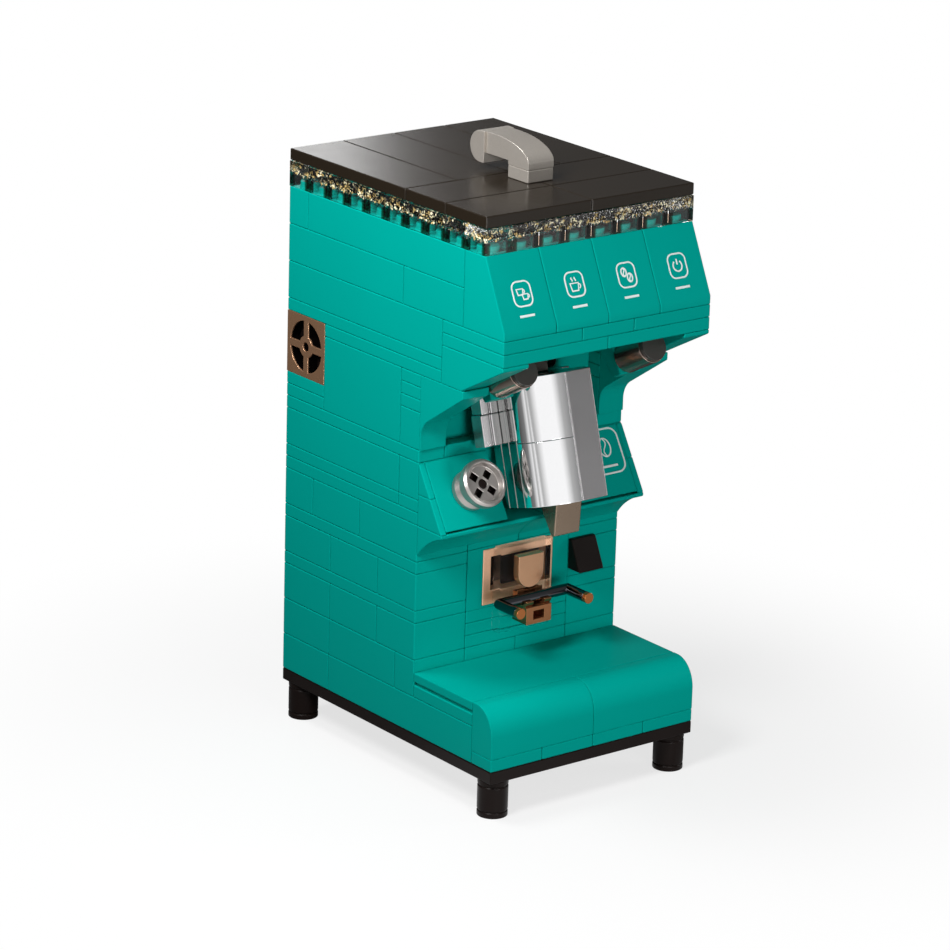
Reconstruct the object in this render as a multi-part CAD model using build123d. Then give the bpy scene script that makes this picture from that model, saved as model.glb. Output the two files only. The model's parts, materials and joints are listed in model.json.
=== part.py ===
from build123d import *
import math
import os

# A toy coffee grinder put together from moulded building bricks.
# Millimetres, +Z up, +X to the right, the front faces -Y.
# The origin is under the middle of the base, on the surface that the feet stand on.

# Grid of the brick system
STUD = 8.0
PLATE = 3.2
SIDE_GAP = 0.05
STUD_DIAMETER = 4.8
STUD_HEIGHT = 1.7

# Size of the machine, in studs and plates
WIDTH_STUDS = 8
COLUMN_DEPTH = 7
SHOULDER_DEPTH = COLUMN_DEPTH + 1
SLOPE_REAR = COLUMN_DEPTH + 2
LID_DEPTH = COLUMN_DEPTH + 3
DEPTH_STUDS = COLUMN_DEPTH + 4
BASE_LOW = 3
BODY_LOW = 4
TRAY_TOP = 9
NOSE_LOW = 18.5
NOSE_EDGE = 21
NOSE_TOP = 26
OVERHANG_LOW = 36
SLOPE_LOW = OVERHANG_LOW + 2
RIM_TOP = 44
LID_LOW = 46
LID_TOP = 47

# Feet
FOOT_DIAMETER = 7.7
FOOT_GROOVE = 0.3
FOOT_COLLAR = 1.5

# Drip tray
TRAY_CURVE_DEPTH = 6.4
TRAY_LIP = 6.7 * PLATE
TRAY_GROOVE = 0.8
TRAY_GROOVE_INSET = 0.5

# Overhang and its corbels
SLOPE_LIP = 2.2
INVERTED_LIP = 1.0
CORBEL_REACH = 2.1 * STUD
CORBEL_LIP = 1.9
CORBEL_SLOPE = 33.5
CORBEL_RADIUS = 6.0
CORBEL_TOE = 0.35
RECESS_SETBACK = 4.0

# Nose panel
NOSE_REACH = 9.8
NOSE_STRIP = 1.9
NOSE_COVE = 1.0
NOSE_SHADOW_GAP = 0.5

# Side vent and blank side tile
TILE_THICKNESS = PLATE
VENT_OPENING = 13.4
VENT_HUB = 5.6
VENT_HUB_HOLE = 2.4
VENT_SPOKE = 1.9
VENT_BACKING = 1.6

# Hopper rim and beans
RAIL_GROOVE_WIDTH = 5.6
RAIL_GROOVE_HEIGHT = 2.0
BEAN_DIAMETER = 5.8
BEAN_HEIGHT = 2.6

# Lid and handle
LID_GAP = 0.2
LID_SIDE_GAP = 0.3
HANDLE_WIDTH = 7.9
HANDLE_HEIGHT = 9.6
HANDLE_SHOULDER = 4.8
HANDLE_BEND = 13.4
HANDLE_BEAM_LOW = 4.2
HANDLE_SPAN = 16.8
GRIP_DEPTH = 5.6
GRIP_LOW = 1.7
GRIP_WIDTH = 9.2

# Chute, laid out in its own tilted frame
CHUTE_TILT = 16.0
CHUTE_FOOT_OUT = 24.6
CHUTE_FOOT_UP = 23.35
CHUTE_LEFT = 10.4
CHUTE_RIGHT = STUD
CHUTE_LENGTH = 4 * STUD
CHUTE_FRONT = 3 * PLATE
CHUTE_LAYERS = 3
CHUTE_SLOT_GAP = 0.6
COPPER_OVERHANG = 1.2
BLOCK_WIDTH = 5.6
BLOCK_TOP_WIDTH = 5.2
BLOCK_BEHIND = 15.0
BLOCK_LOW = 16.0
BLOCK_SPLIT = 8.0
BLOCK_TOP = CHUTE_LENGTH
BLOCK_GROOVE = 0.6
SPOUT_WIDTH = 8.0
SPOUT_SETBACK = 5.4
SPOUT_DEPTH = 7.0
SPOUT_DROP = 8.2
SPOUT_TIP = 1.2
HINGE_BEHIND = 14.0
HINGE_ABOVE = 3.4
HINGE_BAR = 3.2
HINGE_LUG_WIDTH = 7.6
HINGE_EAR_WIDTH = 2.6
HINGE_EAR_WALL = 1.3

# Running clearance of every turning fit, on the radius
RUNNING_GAP = 0.06
BODY_GAP = 0.3

# Dial on the nose
DIAL_STUD = 1.5
DIAL_ALONG = 9.2
DIAL_FRONT_DIAMETER = 12.2
DIAL_REAR_DIAMETER = 10.2
DIAL_GROOVE_DIAMETER = 8.6
DIAL_LENGTH = 7.6
DIAL_FLANGE = 2.4
DIAL_DISH_DIAMETER = 9.0
DIAL_DISH_DEPTH = 1.4
DIAL_PIN = 2.4
DIAL_SLOT_WIDTH = 1.9
DIAL_SLOT_INNER = 1.8
DIAL_SLOT_OUTER = 3.9
DIAL_SLOT_DEPTH = 1.8

# Lamps under the overhang
LAMP_INSET = 1.5
LAMP_DIAMETER = 7.9
LAMP_SETBACK = 6.5
LAMP_TILT = 28.0
LAMP_LENGTH = 10.3
LAMP_FACE = 1.2
LAMP_FACE_DIAMETER = 7.2
BRACKET_WIDTH = 7.0
BRACKET_DEPTH = 3.0

# Dispensing panel on the column
FRAME_WIDTH = 22.0
FRAME_HEIGHT = 14.6
PANEL_LOW = 13
PANEL_TOP = PANEL_LOW + math.ceil(FRAME_HEIGHT / PLATE)
FRAME_OPENING_WIDTH = 17.0
FRAME_OPENING_HEIGHT = 8.8
FRAME_OPENING_RISE = 0.7
FRAME_THICKNESS = PLATE
FRAME_BACKING = 1.6
CLEAR_WIDTH = 2 * STUD
CLEAR_LOW = 11
CLEAR_TOP = 18
BUTTON_WIDTH = 7.9
BUTTON_HEIGHT = 8.6
BUTTON_PROUD = 2.2
BUTTON_LOW_UP = 14.6

# Fork and its clip
FORK_BAR = 2.8
FORK_SPAN = 21.5
FORK_REACH = 7.6
FORK_TIP = 1.2
FORK_OUT = 3.4
FORK_UP = 13.95
CLIP_WIDTH = 7.9
CLIP_BASE = 1.6
CLIP_WALL = 1.0
CLIP_JAW = 2.2
CLIP_LIP = 0.2
CLIP_LOW_UP = 12
CLIP_TONGUE = 5.8
CLIP_TONGUE_HEIGHT = 4.5
CLIP_WINDOW_WIDTH = 3.4
CLIP_WINDOW_HEIGHT = 2.2

# Rocker switch, a wedge on the column
SWITCH_INSET = 1.5
SWITCH_WIDTH = 7.9
SWITCH_LOW_UP = 14.7
SWITCH_HEIGHT = 8.0
SWITCH_PROUD_LOW = 4.9
SWITCH_PROUD_TOP = 1.1


def x_at(stud):
    """X of a grid line, counted in studs from the left side."""
    return STUD * (stud - WIDTH_STUDS / 2)


def y_at(depth):
    """Y of a grid line, counted in studs from the rear."""
    return STUD * (DEPTH_STUDS / 2 - depth)


def z_at(plates):
    """Height of a grid line, counted in plates from the ground."""
    return PLATE * plates


COLUMN_Y = y_at(COLUMN_DEPTH)
CLEAR_FRONT_Y = COLUMN_Y - PLATE
FORK_Y = CLEAR_FRONT_Y - FORK_OUT
FORK_Z = z_at(FORK_UP)
CLIP_LOW_Z = z_at(CLIP_LOW_UP)
BUTTON_LOW_Z = z_at(BUTTON_LOW_UP)
SWITCH_X = x_at(WIDTH_STUDS - SWITCH_INSET)
SWITCH_LOW_Z = z_at(SWITCH_LOW_UP)
FRAME_CENTRE_Z = z_at((PANEL_LOW + PANEL_TOP) / 2)
LAMP_X = (WIDTH_STUDS / 2 - LAMP_INSET) * STUD
LAMP_FRONT_Y = y_at(DEPTH_STUDS) + LAMP_SETBACK


def spans_across(count):
    """The width shared among so many bricks, on whole studs."""
    joints = [round(index * WIDTH_STUDS / count) for index in range(count + 1)]
    return list(zip(joints, joints[1:]))


def box(x_low, x_high, y_low, y_high, z_low, z_high):
    """An upright box between six coordinates."""
    centre = Pos((x_low + x_high) / 2, (y_low + y_high) / 2, (z_low + z_high) / 2)
    return centre * Box(x_high - x_low, y_high - y_low, z_high - z_low)


def brick(left, right, rear, front, low, high):
    """A brick on the grid, in studs and plates, trimmed on its upright faces."""
    return box(
        x_at(left) + SIDE_GAP,
        x_at(right) - SIDE_GAP,
        y_at(front) + SIDE_GAP,
        y_at(rear) - SIDE_GAP,
        z_at(low),
        z_at(high),
    )


def prism(outline, x_low, x_high):
    """A closed outline of (y, z) points drawn out across the width."""
    face = make_face(Polyline(*outline, close=True))
    return extrude(Plane.YZ.offset(x_low) * face, amount=x_high - x_low)


def curved_prism(edges, x_low, x_high):
    """A closed outline of (y, z) edges drawn out across the width."""
    return extrude(Plane.YZ.offset(x_low) * make_face(edges), amount=x_high - x_low)


def knob_stud(stud, depth, plates):
    """One coupling stud, centred on a grid cell."""
    centre = Pos(x_at(stud), y_at(depth), z_at(plates) + STUD_HEIGHT / 2)
    return centre * Cylinder(STUD_DIAMETER / 2, STUD_HEIGHT)


def save(name, pieces):
    """Writes one node: a single solid or a group of separate solids."""
    solids = []
    for piece in pieces:
        solids.extend(piece.solids())
    export_step(Compound(label=name, children=solids), os.path.join("parts", name + ".step"))


# Feet and base plate


def make_feet():
    radius = FOOT_DIAMETER / 2
    top = z_at(BASE_LOW)
    points = [(0, 0), (radius, 0)]
    for middle in (FOOT_COLLAR, top - FOOT_COLLAR):
        points += [(radius, middle - FOOT_GROOVE), (radius - FOOT_GROOVE, middle)]
        points += [(radius, middle + FOOT_GROOVE)]
    points += [(radius, top), (0, top)]
    outline = Polyline(*points, close=True)
    foot = revolve(Plane.XZ * make_face(outline), Axis.Z)
    corners = []
    for stud in (0.5, WIDTH_STUDS - 0.5):
        for depth in (0.5, DEPTH_STUDS - 0.5):
            corners.append(Pos(x_at(stud), y_at(depth), 0) * foot)
    return corners


def make_base_plate():
    return [brick(0, WIDTH_STUDS, 0, DEPTH_STUDS, BASE_LOW, BODY_LOW)]


# Drip tray

TRAY_FRONT_ROW = DEPTH_STUDS - 1
TRAY_SIDE_REAR = 2.5
MIDDLE = WIDTH_STUDS // 2


def make_tray_bricks():
    """Long bricks on both sides, which run back under the column, and two between them."""
    spans = (
        (0, 1, TRAY_SIDE_REAR),
        (1, MIDDLE, COLUMN_DEPTH),
        (MIDDLE, WIDTH_STUDS - 1, COLUMN_DEPTH),
        (WIDTH_STUDS - 1, WIDTH_STUDS, TRAY_SIDE_REAR),
    )
    return [brick(a, b, rear, TRAY_FRONT_ROW, BODY_LOW, BODY_LOW + 3) for a, b, rear in spans]


def make_tray_plates():
    thirds = ((0, 2), (2, WIDTH_STUDS - 2), (WIDTH_STUDS - 2, WIDTH_STUDS))
    return [brick(a, b, COLUMN_DEPTH, TRAY_FRONT_ROW, BODY_LOW + 3, TRAY_TOP - 1) for a, b in thirds]


def make_tray_top_tiles():
    tiles = []
    for left, right in spans_across(1):
        tile = brick(left, right, COLUMN_DEPTH, TRAY_FRONT_ROW, TRAY_TOP - 1, TRAY_TOP)
        size = tile.bounding_box().size
        centre = tile.bounding_box().center()
        groove_z = z_at(TRAY_TOP - 1) + TRAY_GROOVE / 2
        band = Pos(centre.X, centre.Y, groove_z) * Box(size.X, size.Y, TRAY_GROOVE)
        core = Pos(centre.X, centre.Y, groove_z) * Box(
            size.X - 2 * TRAY_GROOVE_INSET, size.Y - 2 * TRAY_GROOVE_INSET, TRAY_GROOVE
        )
        tiles.append(tile - (band - core))
    return tiles


def make_tray_front_curves():
    rear = y_at(TRAY_FRONT_ROW) - SIDE_GAP
    front = y_at(DEPTH_STUDS) + SIDE_GAP
    low = z_at(BODY_LOW + 1)
    top = z_at(TRAY_TOP)
    shoulder = front + TRAY_CURVE_DEPTH
    edges = Polyline((shoulder, top), (rear, top), (rear, low), (front, low), (front, TRAY_LIP))
    edges += EllipticalCenterArc((shoulder, TRAY_LIP), TRAY_CURVE_DEPTH, top - TRAY_LIP, 90, arc_size=90)
    pieces = []
    for left, right in spans_across(2):
        pieces.append(curved_prism(edges, x_at(left) + SIDE_GAP, x_at(right) - SIDE_GAP))
    return pieces


def make_tray_front_plates():
    plates = []
    for left, right in spans_across(4):
        plates.append(brick(left, right, TRAY_FRONT_ROW, DEPTH_STUDS, BODY_LOW, BODY_LOW + 1))
    return plates


# Walls: each course gives its lowest and highest plate and its joints, in studs from the rear

CORNER_WIDTH = 2
LOWER_COURSES = (
    (4, 7, (0, TRAY_SIDE_REAR)),
    (7, 10, (0, TRAY_SIDE_REAR, 6, COLUMN_DEPTH)),
    (10, 13, (0, 2.5, 5, COLUMN_DEPTH)),
    (13, 14, (0, COLUMN_DEPTH)),
    (14, 17, (0, 2.5, 5, COLUMN_DEPTH)),
    (17, 18, (0, COLUMN_DEPTH)),
    (18, 21, (0, 1.5, 4, COLUMN_DEPTH)),
    (21, 22, (0, COLUMN_DEPTH)),
    (22, 23, (0, 6, COLUMN_DEPTH)),
    (23, 26, (0, 6, COLUMN_DEPTH)),
)
TILE_LOW = 27
TILE_TOP = 33
VENT_LOW = 29
VENT_TOP = 34
VENT_DEPTH = 2
TILE_FRONT = COLUMN_DEPTH - 1
UPPER_COURSES = (
    (26, 27, (0, COLUMN_DEPTH)),
    (27, 28, (0, VENT_DEPTH)),
    (28, 29, (0, VENT_DEPTH)),
    (33, 34, (VENT_DEPTH, SHOULDER_DEPTH)),
    (34, 35, (0, SHOULDER_DEPTH)),
    (35, 38, (0, SHOULDER_DEPTH)),
    (38, 41, (0, 6, SLOPE_REAR)),
)
EDGE_PLATES = ((TILE_LOW, 30), (30, 31), (31, 32), (32, TILE_TOP))
RIM_COURSE = (41, RIM_TOP, (0, 1, SLOPE_REAR))


def course_bricks(course, left, right, corner_left, corner_right):
    """Bricks of one course along a side wall; the one at the column's front turns the corner."""
    low, high, joints = course
    pieces = []
    for rear, front in zip(joints, joints[1:]):
        piece = brick(left, right, rear, front, low, high)
        if front == COLUMN_DEPTH and high <= NOSE_TOP:
            piece += brick(corner_left, corner_right, front - 1, front, low, high)
        pieces.append(piece)
    return pieces


def make_side_wall_lower(left):
    corner = left if left == 0 else left + 1 - CORNER_WIDTH
    pieces = []
    for course in LOWER_COURSES:
        pieces += course_bricks(course, left, left + 1, corner, corner + CORNER_WIDTH)
    return pieces


def make_side_wall_upper(left):
    pieces = []
    for course in UPPER_COURSES:
        pieces += course_bricks(course, left, left + 1, left, left + 1)
    for low, high in EDGE_PLATES:
        pieces.append(brick(left, left + 1, TILE_FRONT, COLUMN_DEPTH, low, high))
    return pieces


def inner_slice(left, rear, front, low, high, skin):
    """A side-studded brick behind a tile of the given thickness on the outer face."""
    solid = brick(left, left + 1, rear, front, low, high)
    x_low, x_high = x_at(left) + SIDE_GAP, x_at(left + 1) - SIDE_GAP
    if left == 0:
        x_low = x_at(left) + skin
    else:
        x_high = x_at(left + 1) - skin
    return solid & box(x_low, x_high, y_at(front), y_at(rear), z_at(low), z_at(high))


def outer_slice(left, rear, front, low, high, skin):
    """The tile on the outer face of a side wall."""
    solid = brick(left, left + 1, rear, front, low, high)
    x_low, x_high = x_at(left) + SIDE_GAP, x_at(left + 1) - SIDE_GAP
    if left == 0:
        x_high = x_at(left) + skin
    else:
        x_low = x_at(left + 1) - skin
    return solid & box(x_low, x_high, y_at(front), y_at(rear), z_at(low), z_at(high))


def make_side_stud_bricks():
    """Bricks with sideways studs that carry the side tiles and the vent."""
    last = WIDTH_STUDS - 1
    pieces = []
    for left in (0, last):
        pieces.append(inner_slice(left, VENT_DEPTH, TILE_FRONT, TILE_LOW, TILE_TOP, TILE_THICKNESS))
    pieces.append(inner_slice(0, 0, VENT_DEPTH, VENT_LOW, VENT_TOP, TILE_THICKNESS + VENT_BACKING))
    pieces.append(brick(last, WIDTH_STUDS, 0, VENT_DEPTH, VENT_LOW, VENT_LOW + 2))
    pieces.append(brick(last, WIDTH_STUDS, 0, VENT_DEPTH, VENT_LOW + 2, VENT_TOP))
    return pieces


def make_side_tiles():
    tiles = []
    for left in (0, WIDTH_STUDS - 1):
        tiles.append(outer_slice(left, VENT_DEPTH, TILE_FRONT, TILE_LOW, TILE_TOP, TILE_THICKNESS))
    return tiles


def make_vent_frame():
    """Square tile with a round opening, four spokes and a hub."""
    tile = outer_slice(0, 0, VENT_DEPTH, VENT_LOW, VENT_TOP, TILE_THICKNESS)
    centre = tile.bounding_box().center()
    place = Pos(centre.X, centre.Y, centre.Z) * Rot(0, 90, 0)
    opening = place * Cylinder(VENT_OPENING / 2, 2 * TILE_THICKNESS)
    length = tile.bounding_box().size.X
    wheel = Cylinder(VENT_HUB / 2, length)
    for turn in (0, 90):
        wheel += Rot(0, 0, turn) * Box(VENT_OPENING + 1, VENT_SPOKE, length)
    wheel -= Cylinder(VENT_HUB_HOLE / 2, 2 * length)
    return [tile - opening + place * wheel]


def make_vent_backing():
    inner_x = x_at(0) + TILE_THICKNESS
    rear, front = y_at(0) - SIDE_GAP, y_at(VENT_DEPTH) + SIDE_GAP
    return [box(inner_x, inner_x + VENT_BACKING, front, rear, z_at(VENT_LOW), z_at(VENT_TOP))]


def make_rear_wall(courses):
    """Rear bricks between the side walls, their joints stepped from course to course."""
    pieces = []
    for index, (low, high) in enumerate(courses):
        joints = (1, 4, WIDTH_STUDS - 1) if index % 2 else (1, 3, 5, WIDTH_STUDS - 1)
        for left, right in zip(joints, joints[1:]):
            pieces.append(brick(left, right, 0, 1, low, high))
    return pieces


def make_column_front():
    """Bricks of the column's front between its two corner stacks."""
    left, right = CORNER_WIDTH, WIDTH_STUDS - CORNER_WIDTH
    rear = COLUMN_DEPTH - 1
    pieces = []
    for low, high in ((4, 7), (7, 10), (PANEL_TOP, 21), (21, 23), (23, NOSE_TOP)):
        for a, b in ((left, MIDDLE), (MIDDLE, right)):
            pieces.append(brick(a, b, rear, COLUMN_DEPTH, low, high))
    for low in range(10, PANEL_LOW):
        pieces.append(brick(left, right, rear, COLUMN_DEPTH, low, low + 1))
    return pieces


# Dispensing panel

FRAME_LOW_Z = FRAME_CENTRE_Z - FRAME_HEIGHT / 2


def make_frame_surround():
    """Teal panel with the window that the copper frame sits in."""
    left, right = CORNER_WIDTH, WIDTH_STUDS - CORNER_WIDTH
    panel = brick(left, right, COLUMN_DEPTH - 1, COLUMN_DEPTH, PANEL_LOW, PANEL_TOP)
    depth = FRAME_THICKNESS + FRAME_BACKING + SIDE_GAP
    window = box(
        -FRAME_WIDTH / 2 - SIDE_GAP,
        FRAME_WIDTH / 2 + SIDE_GAP,
        COLUMN_Y - 1,
        COLUMN_Y + depth,
        FRAME_LOW_Z - SIDE_GAP,
        FRAME_LOW_Z + FRAME_HEIGHT + SIDE_GAP,
    )
    return [panel - window]


def make_copper_frame():
    outer = box(
        -FRAME_WIDTH / 2,
        FRAME_WIDTH / 2,
        COLUMN_Y,
        COLUMN_Y + FRAME_THICKNESS,
        FRAME_LOW_Z,
        FRAME_LOW_Z + FRAME_HEIGHT,
    )
    opening_z = FRAME_CENTRE_Z + FRAME_OPENING_RISE
    opening = Pos(0, COLUMN_Y + FRAME_THICKNESS / 2, opening_z) * Box(
        FRAME_OPENING_WIDTH, 2 * FRAME_THICKNESS, FRAME_OPENING_HEIGHT
    )
    return [outer - opening]


def make_frame_backing():
    back = COLUMN_Y + FRAME_THICKNESS
    return [
        box(
            -FRAME_WIDTH / 2,
            FRAME_WIDTH / 2,
            back,
            back + FRAME_BACKING,
            FRAME_LOW_Z,
            FRAME_LOW_Z + FRAME_HEIGHT,
        )
    ]


def make_clear_plate():
    half = CLEAR_WIDTH / 2 - SIDE_GAP
    return [box(-half, half, CLEAR_FRONT_Y, COLUMN_Y, z_at(CLEAR_LOW), z_at(CLEAR_TOP))]


def make_dispense_button():
    """Tile with a half-round foot, on the front of the clear plate."""
    radius = BUTTON_WIDTH / 2
    top = BUTTON_LOW_Z + BUTTON_HEIGHT
    waist = BUTTON_LOW_Z + radius
    outline = Polyline((-radius, waist), (-radius, top), (radius, top), (radius, waist))
    outline += ThreePointArc((radius, waist), (0, BUTTON_LOW_Z), (-radius, waist))
    face = Plane.XZ.offset(-CLEAR_FRONT_Y) * make_face(outline)
    return [extrude(face, amount=BUTTON_PROUD)]


def make_switch_wedge():
    outline = (
        (COLUMN_Y, SWITCH_LOW_Z),
        (COLUMN_Y - SWITCH_PROUD_LOW, SWITCH_LOW_Z),
        (COLUMN_Y - SWITCH_PROUD_TOP, SWITCH_LOW_Z + SWITCH_HEIGHT),
        (COLUMN_Y, SWITCH_LOW_Z + SWITCH_HEIGHT),
    )
    return [prism(outline, SWITCH_X - SWITCH_WIDTH / 2, SWITCH_X + SWITCH_WIDTH / 2)]


def along_x(radius, length, x, y, z):
    """A round bar lying across the width."""
    return Pos(x, y, z) * Rot(0, 90, 0) * Cylinder(radius, length)


def make_fork_clip():
    """Bracket on the clear plate: two cradles for the fork's bar and a tongue with a window."""
    bore = FORK_BAR / 2 + RUNNING_GAP
    plate_front = CLEAR_FRONT_Y - CLIP_BASE
    half = CLIP_WIDTH / 2
    bracket = box(-half, half, plate_front, CLEAR_FRONT_Y, CLIP_LOW_Z, FORK_Z + bore)
    for side in (-1, 1):
        x = side * (half - CLIP_JAW / 2)
        jaw = along_x(bore + CLIP_WALL, CLIP_JAW, x, FORK_Y, FORK_Z)
        web = box(
            x - CLIP_JAW / 2, x + CLIP_JAW / 2, FORK_Y, plate_front, FORK_Z - bore - CLIP_WALL, FORK_Z
        )
        bracket += jaw + web
    bracket -= along_x(bore, 2 * CLIP_WIDTH, 0, FORK_Y, FORK_Z)
    jaw_reach = bore + CLIP_WALL + SIDE_GAP
    bracket -= box(
        -half, half, FORK_Y - jaw_reach, FORK_Y + bore, FORK_Z - CLIP_LIP, FORK_Z + jaw_reach
    )
    tongue = box(
        -half,
        half,
        CLEAR_FRONT_Y - CLIP_TONGUE,
        CLEAR_FRONT_Y,
        CLIP_LOW_Z,
        CLIP_LOW_Z + CLIP_TONGUE_HEIGHT,
    )
    window_z = CLIP_LOW_Z + CLIP_TONGUE_HEIGHT / 2
    window_y = plate_front - CLIP_TONGUE / 2
    window = Pos(0, window_y, window_z) * Box(CLIP_WINDOW_WIDTH, CLIP_TONGUE, CLIP_WINDOW_HEIGHT)
    return [bracket + tongue - window]


def make_fork():
    """Handlebar: a crossbar with two arms to the front."""
    radius = FORK_BAR / 2
    half = FORK_SPAN / 2
    bar = along_x(radius, FORK_SPAN, 0, FORK_Y, FORK_Z)
    for side in (-1, 1):
        middle = Pos(side * half, FORK_Y - FORK_REACH / 2, FORK_Z)
        bar += middle * Rot(90, 0, 0) * Cylinder(radius, FORK_REACH)
        bar += Pos(side * half, FORK_Y, FORK_Z) * Sphere(radius)
    return [bar]


def make_fork_tips():
    tips = []
    for side in (-1, 1):
        y = FORK_Y - FORK_REACH - FORK_TIP / 2
        tips.append(Pos(side * FORK_SPAN / 2, y, FORK_Z) * Rot(90, 0, 0) * Cylinder(FORK_BAR / 2, FORK_TIP))
    return tips


# Nose

NOSE_EDGE_Y = COLUMN_Y - NOSE_REACH
NOSE_ANGLE = math.degrees(math.atan2(NOSE_REACH, z_at(NOSE_TOP) - z_at(NOSE_EDGE)))


def nose_front(z):
    """Y of the sloping panel at a height."""
    share = (z_at(NOSE_TOP) - z) / (z_at(NOSE_TOP) - z_at(NOSE_EDGE))
    return COLUMN_Y - NOSE_REACH * share


def make_nose_panels():
    """Sloping panels on both sides of the chute's slot, with a shadow gap under them."""
    low = z_at(NOSE_EDGE) + NOSE_SHADOW_GAP
    outline = ((COLUMN_Y, low), (nose_front(low), low), (COLUMN_Y, z_at(NOSE_TOP)))
    edge = x_at(WIDTH_STUDS) - NOSE_STRIP
    halves = ((-edge, -CHUTE_LEFT - CHUTE_SLOT_GAP), (CHUTE_RIGHT + CHUTE_SLOT_GAP, edge))
    return [prism(outline, a, b) for a, b in halves]


def make_nose_end_strips():
    strips = []
    middle = (z_at(NOSE_TOP) + z_at(NOSE_EDGE)) / 2
    for low, high in ((z_at(NOSE_EDGE), middle), (middle, z_at(NOSE_TOP))):
        outline = [(COLUMN_Y, low), (nose_front(low), low), (nose_front(high), high)]
        if high < z_at(NOSE_TOP):
            outline.append((COLUMN_Y, high))
        for side in (-1, 1):
            outer = side * (x_at(WIDTH_STUDS) - SIDE_GAP)
            inner = side * (x_at(WIDTH_STUDS) - NOSE_STRIP + SIDE_GAP)
            strips.append(prism(outline, min(outer, inner), max(outer, inner)))
    return strips


def make_nose_undersides():
    """Inverted pieces under the panels, hollowed below."""
    heel = Vector(COLUMN_Y, z_at(NOSE_LOW))
    lip = Vector(NOSE_EDGE_Y, z_at(NOSE_EDGE) - INVERTED_LIP)
    run = (lip - heel).normalized()
    bend = (heel + lip) / 2 + Vector(run.Y, -run.X) * NOSE_COVE
    outline = Polyline(lip, (NOSE_EDGE_Y, z_at(NOSE_EDGE)), (COLUMN_Y, z_at(NOSE_EDGE)), heel)
    outline += ThreePointArc(heel, bend, lip)
    pieces = []
    for left, right in spans_across(2):
        pieces.append(curved_prism(outline, x_at(left) + SIDE_GAP, x_at(right) - SIDE_GAP))
    return pieces


# Dial: its axis stands square on the nose panel

NOSE_ALONG = Vector(0, -math.sin(math.radians(NOSE_ANGLE)), -math.cos(math.radians(NOSE_ANGLE)))
NOSE_OUT = Vector(0, -math.cos(math.radians(NOSE_ANGLE)), math.sin(math.radians(NOSE_ANGLE)))
DIAL_FOOT = Vector(x_at(DIAL_STUD), COLUMN_Y, z_at(NOSE_TOP)) + NOSE_ALONG * DIAL_ALONG
DIAL_PLANE = Plane(origin=DIAL_FOOT, x_dir=(1, 0, 0), z_dir=NOSE_OUT)


def make_dial_pin():
    length = BODY_GAP + DIAL_LENGTH - DIAL_DISH_DEPTH
    return [DIAL_PLANE * Pos(0, 0, length / 2) * Cylinder(DIAL_PIN / 2, length)]


def make_dial():
    """Wheel-rim shaped dial: two flanges, a groove, a dished face and a cross of slots."""
    rear, front, groove = DIAL_REAR_DIAMETER / 2, DIAL_FRONT_DIAMETER / 2, DIAL_GROOVE_DIAMETER / 2
    bore = DIAL_PIN / 2 + RUNNING_GAP
    low, high = BODY_GAP, BODY_GAP + DIAL_LENGTH
    outline = Polyline(
        (bore, low),
        (rear, low),
        (rear, low + DIAL_FLANGE / 2),
        (groove, low + DIAL_FLANGE),
        (groove, high - 1.5 * DIAL_FLANGE),
        (front, high - DIAL_FLANGE),
        (front, high - DIAL_FLANGE / 4),
        (front - DIAL_FLANGE / 4, high),
        (DIAL_DISH_DIAMETER / 2 + DIAL_FLANGE / 4, high),
        (DIAL_DISH_DIAMETER / 2, high - DIAL_DISH_DEPTH),
        (bore, high - DIAL_DISH_DEPTH),
        close=True,
    )
    dial = revolve(Plane.XZ * make_face(outline), Axis.Z)
    floor = high - DIAL_DISH_DEPTH
    half = DIAL_SLOT_WIDTH / 2
    slot = box(DIAL_SLOT_INNER, DIAL_SLOT_OUTER, -half, half, floor - DIAL_SLOT_DEPTH, floor + SIDE_GAP)
    for turn in range(0, 360, 90):
        dial -= Rot(0, 0, turn + 45) * slot
    return [DIAL_PLANE * dial]


# Overhang


def make_recess_wall():
    """Wall at the back of the recess, with ledge plates out to the column's front."""
    rear = COLUMN_DEPTH - 1 - RECESS_SETBACK / STUD
    front = COLUMN_DEPTH - RECESS_SETBACK / STUD
    pieces = []
    for index, (low, high) in enumerate(((26, 29), (29, 32), (32, 35), (35, OVERHANG_LOW))):
        joints = (1, 4, WIDTH_STUDS - 1) if index % 2 else (1, 3, 5, WIDTH_STUDS - 1)
        for left, right in zip(joints, joints[1:]):
            pieces.append(brick(left, right, rear, front, low, high))
    for left, right in ((1, WIDTH_STUDS // 2), (WIDTH_STUDS // 2, WIDTH_STUDS - 1)):
        pieces.append(brick(left, right, front, COLUMN_DEPTH, NOSE_TOP, NOSE_TOP + 1))
    return pieces


def make_corbels():
    """Curved brackets at both ends of the recess, under the inverted slopes."""
    top, toe = z_at(TILE_TOP), z_at(TILE_LOW)
    back = COLUMN_Y - SIDE_GAP
    tip = COLUMN_Y - CORBEL_REACH
    foot = back - CORBEL_TOE
    inner = top - CORBEL_LIP - (foot - tip) * math.tan(math.radians(CORBEL_SLOPE))
    outline = Polyline(
        (back, toe),
        (back, top),
        (tip, top),
        (tip, top - CORBEL_LIP),
        (foot, inner),
        (foot, toe),
        close=True,
    )
    face = make_face(outline)
    bend = face.vertices().sort_by_distance((foot, inner, 0))[0]
    face = fillet(bend, CORBEL_RADIUS)
    pieces = []
    for left in (0, WIDTH_STUDS - 1):
        low, high = x_at(left) + SIDE_GAP, x_at(left + 1) - SIDE_GAP
        pieces.append(extrude(Plane.YZ.offset(low) * face, amount=high - low))
    return pieces


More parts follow.
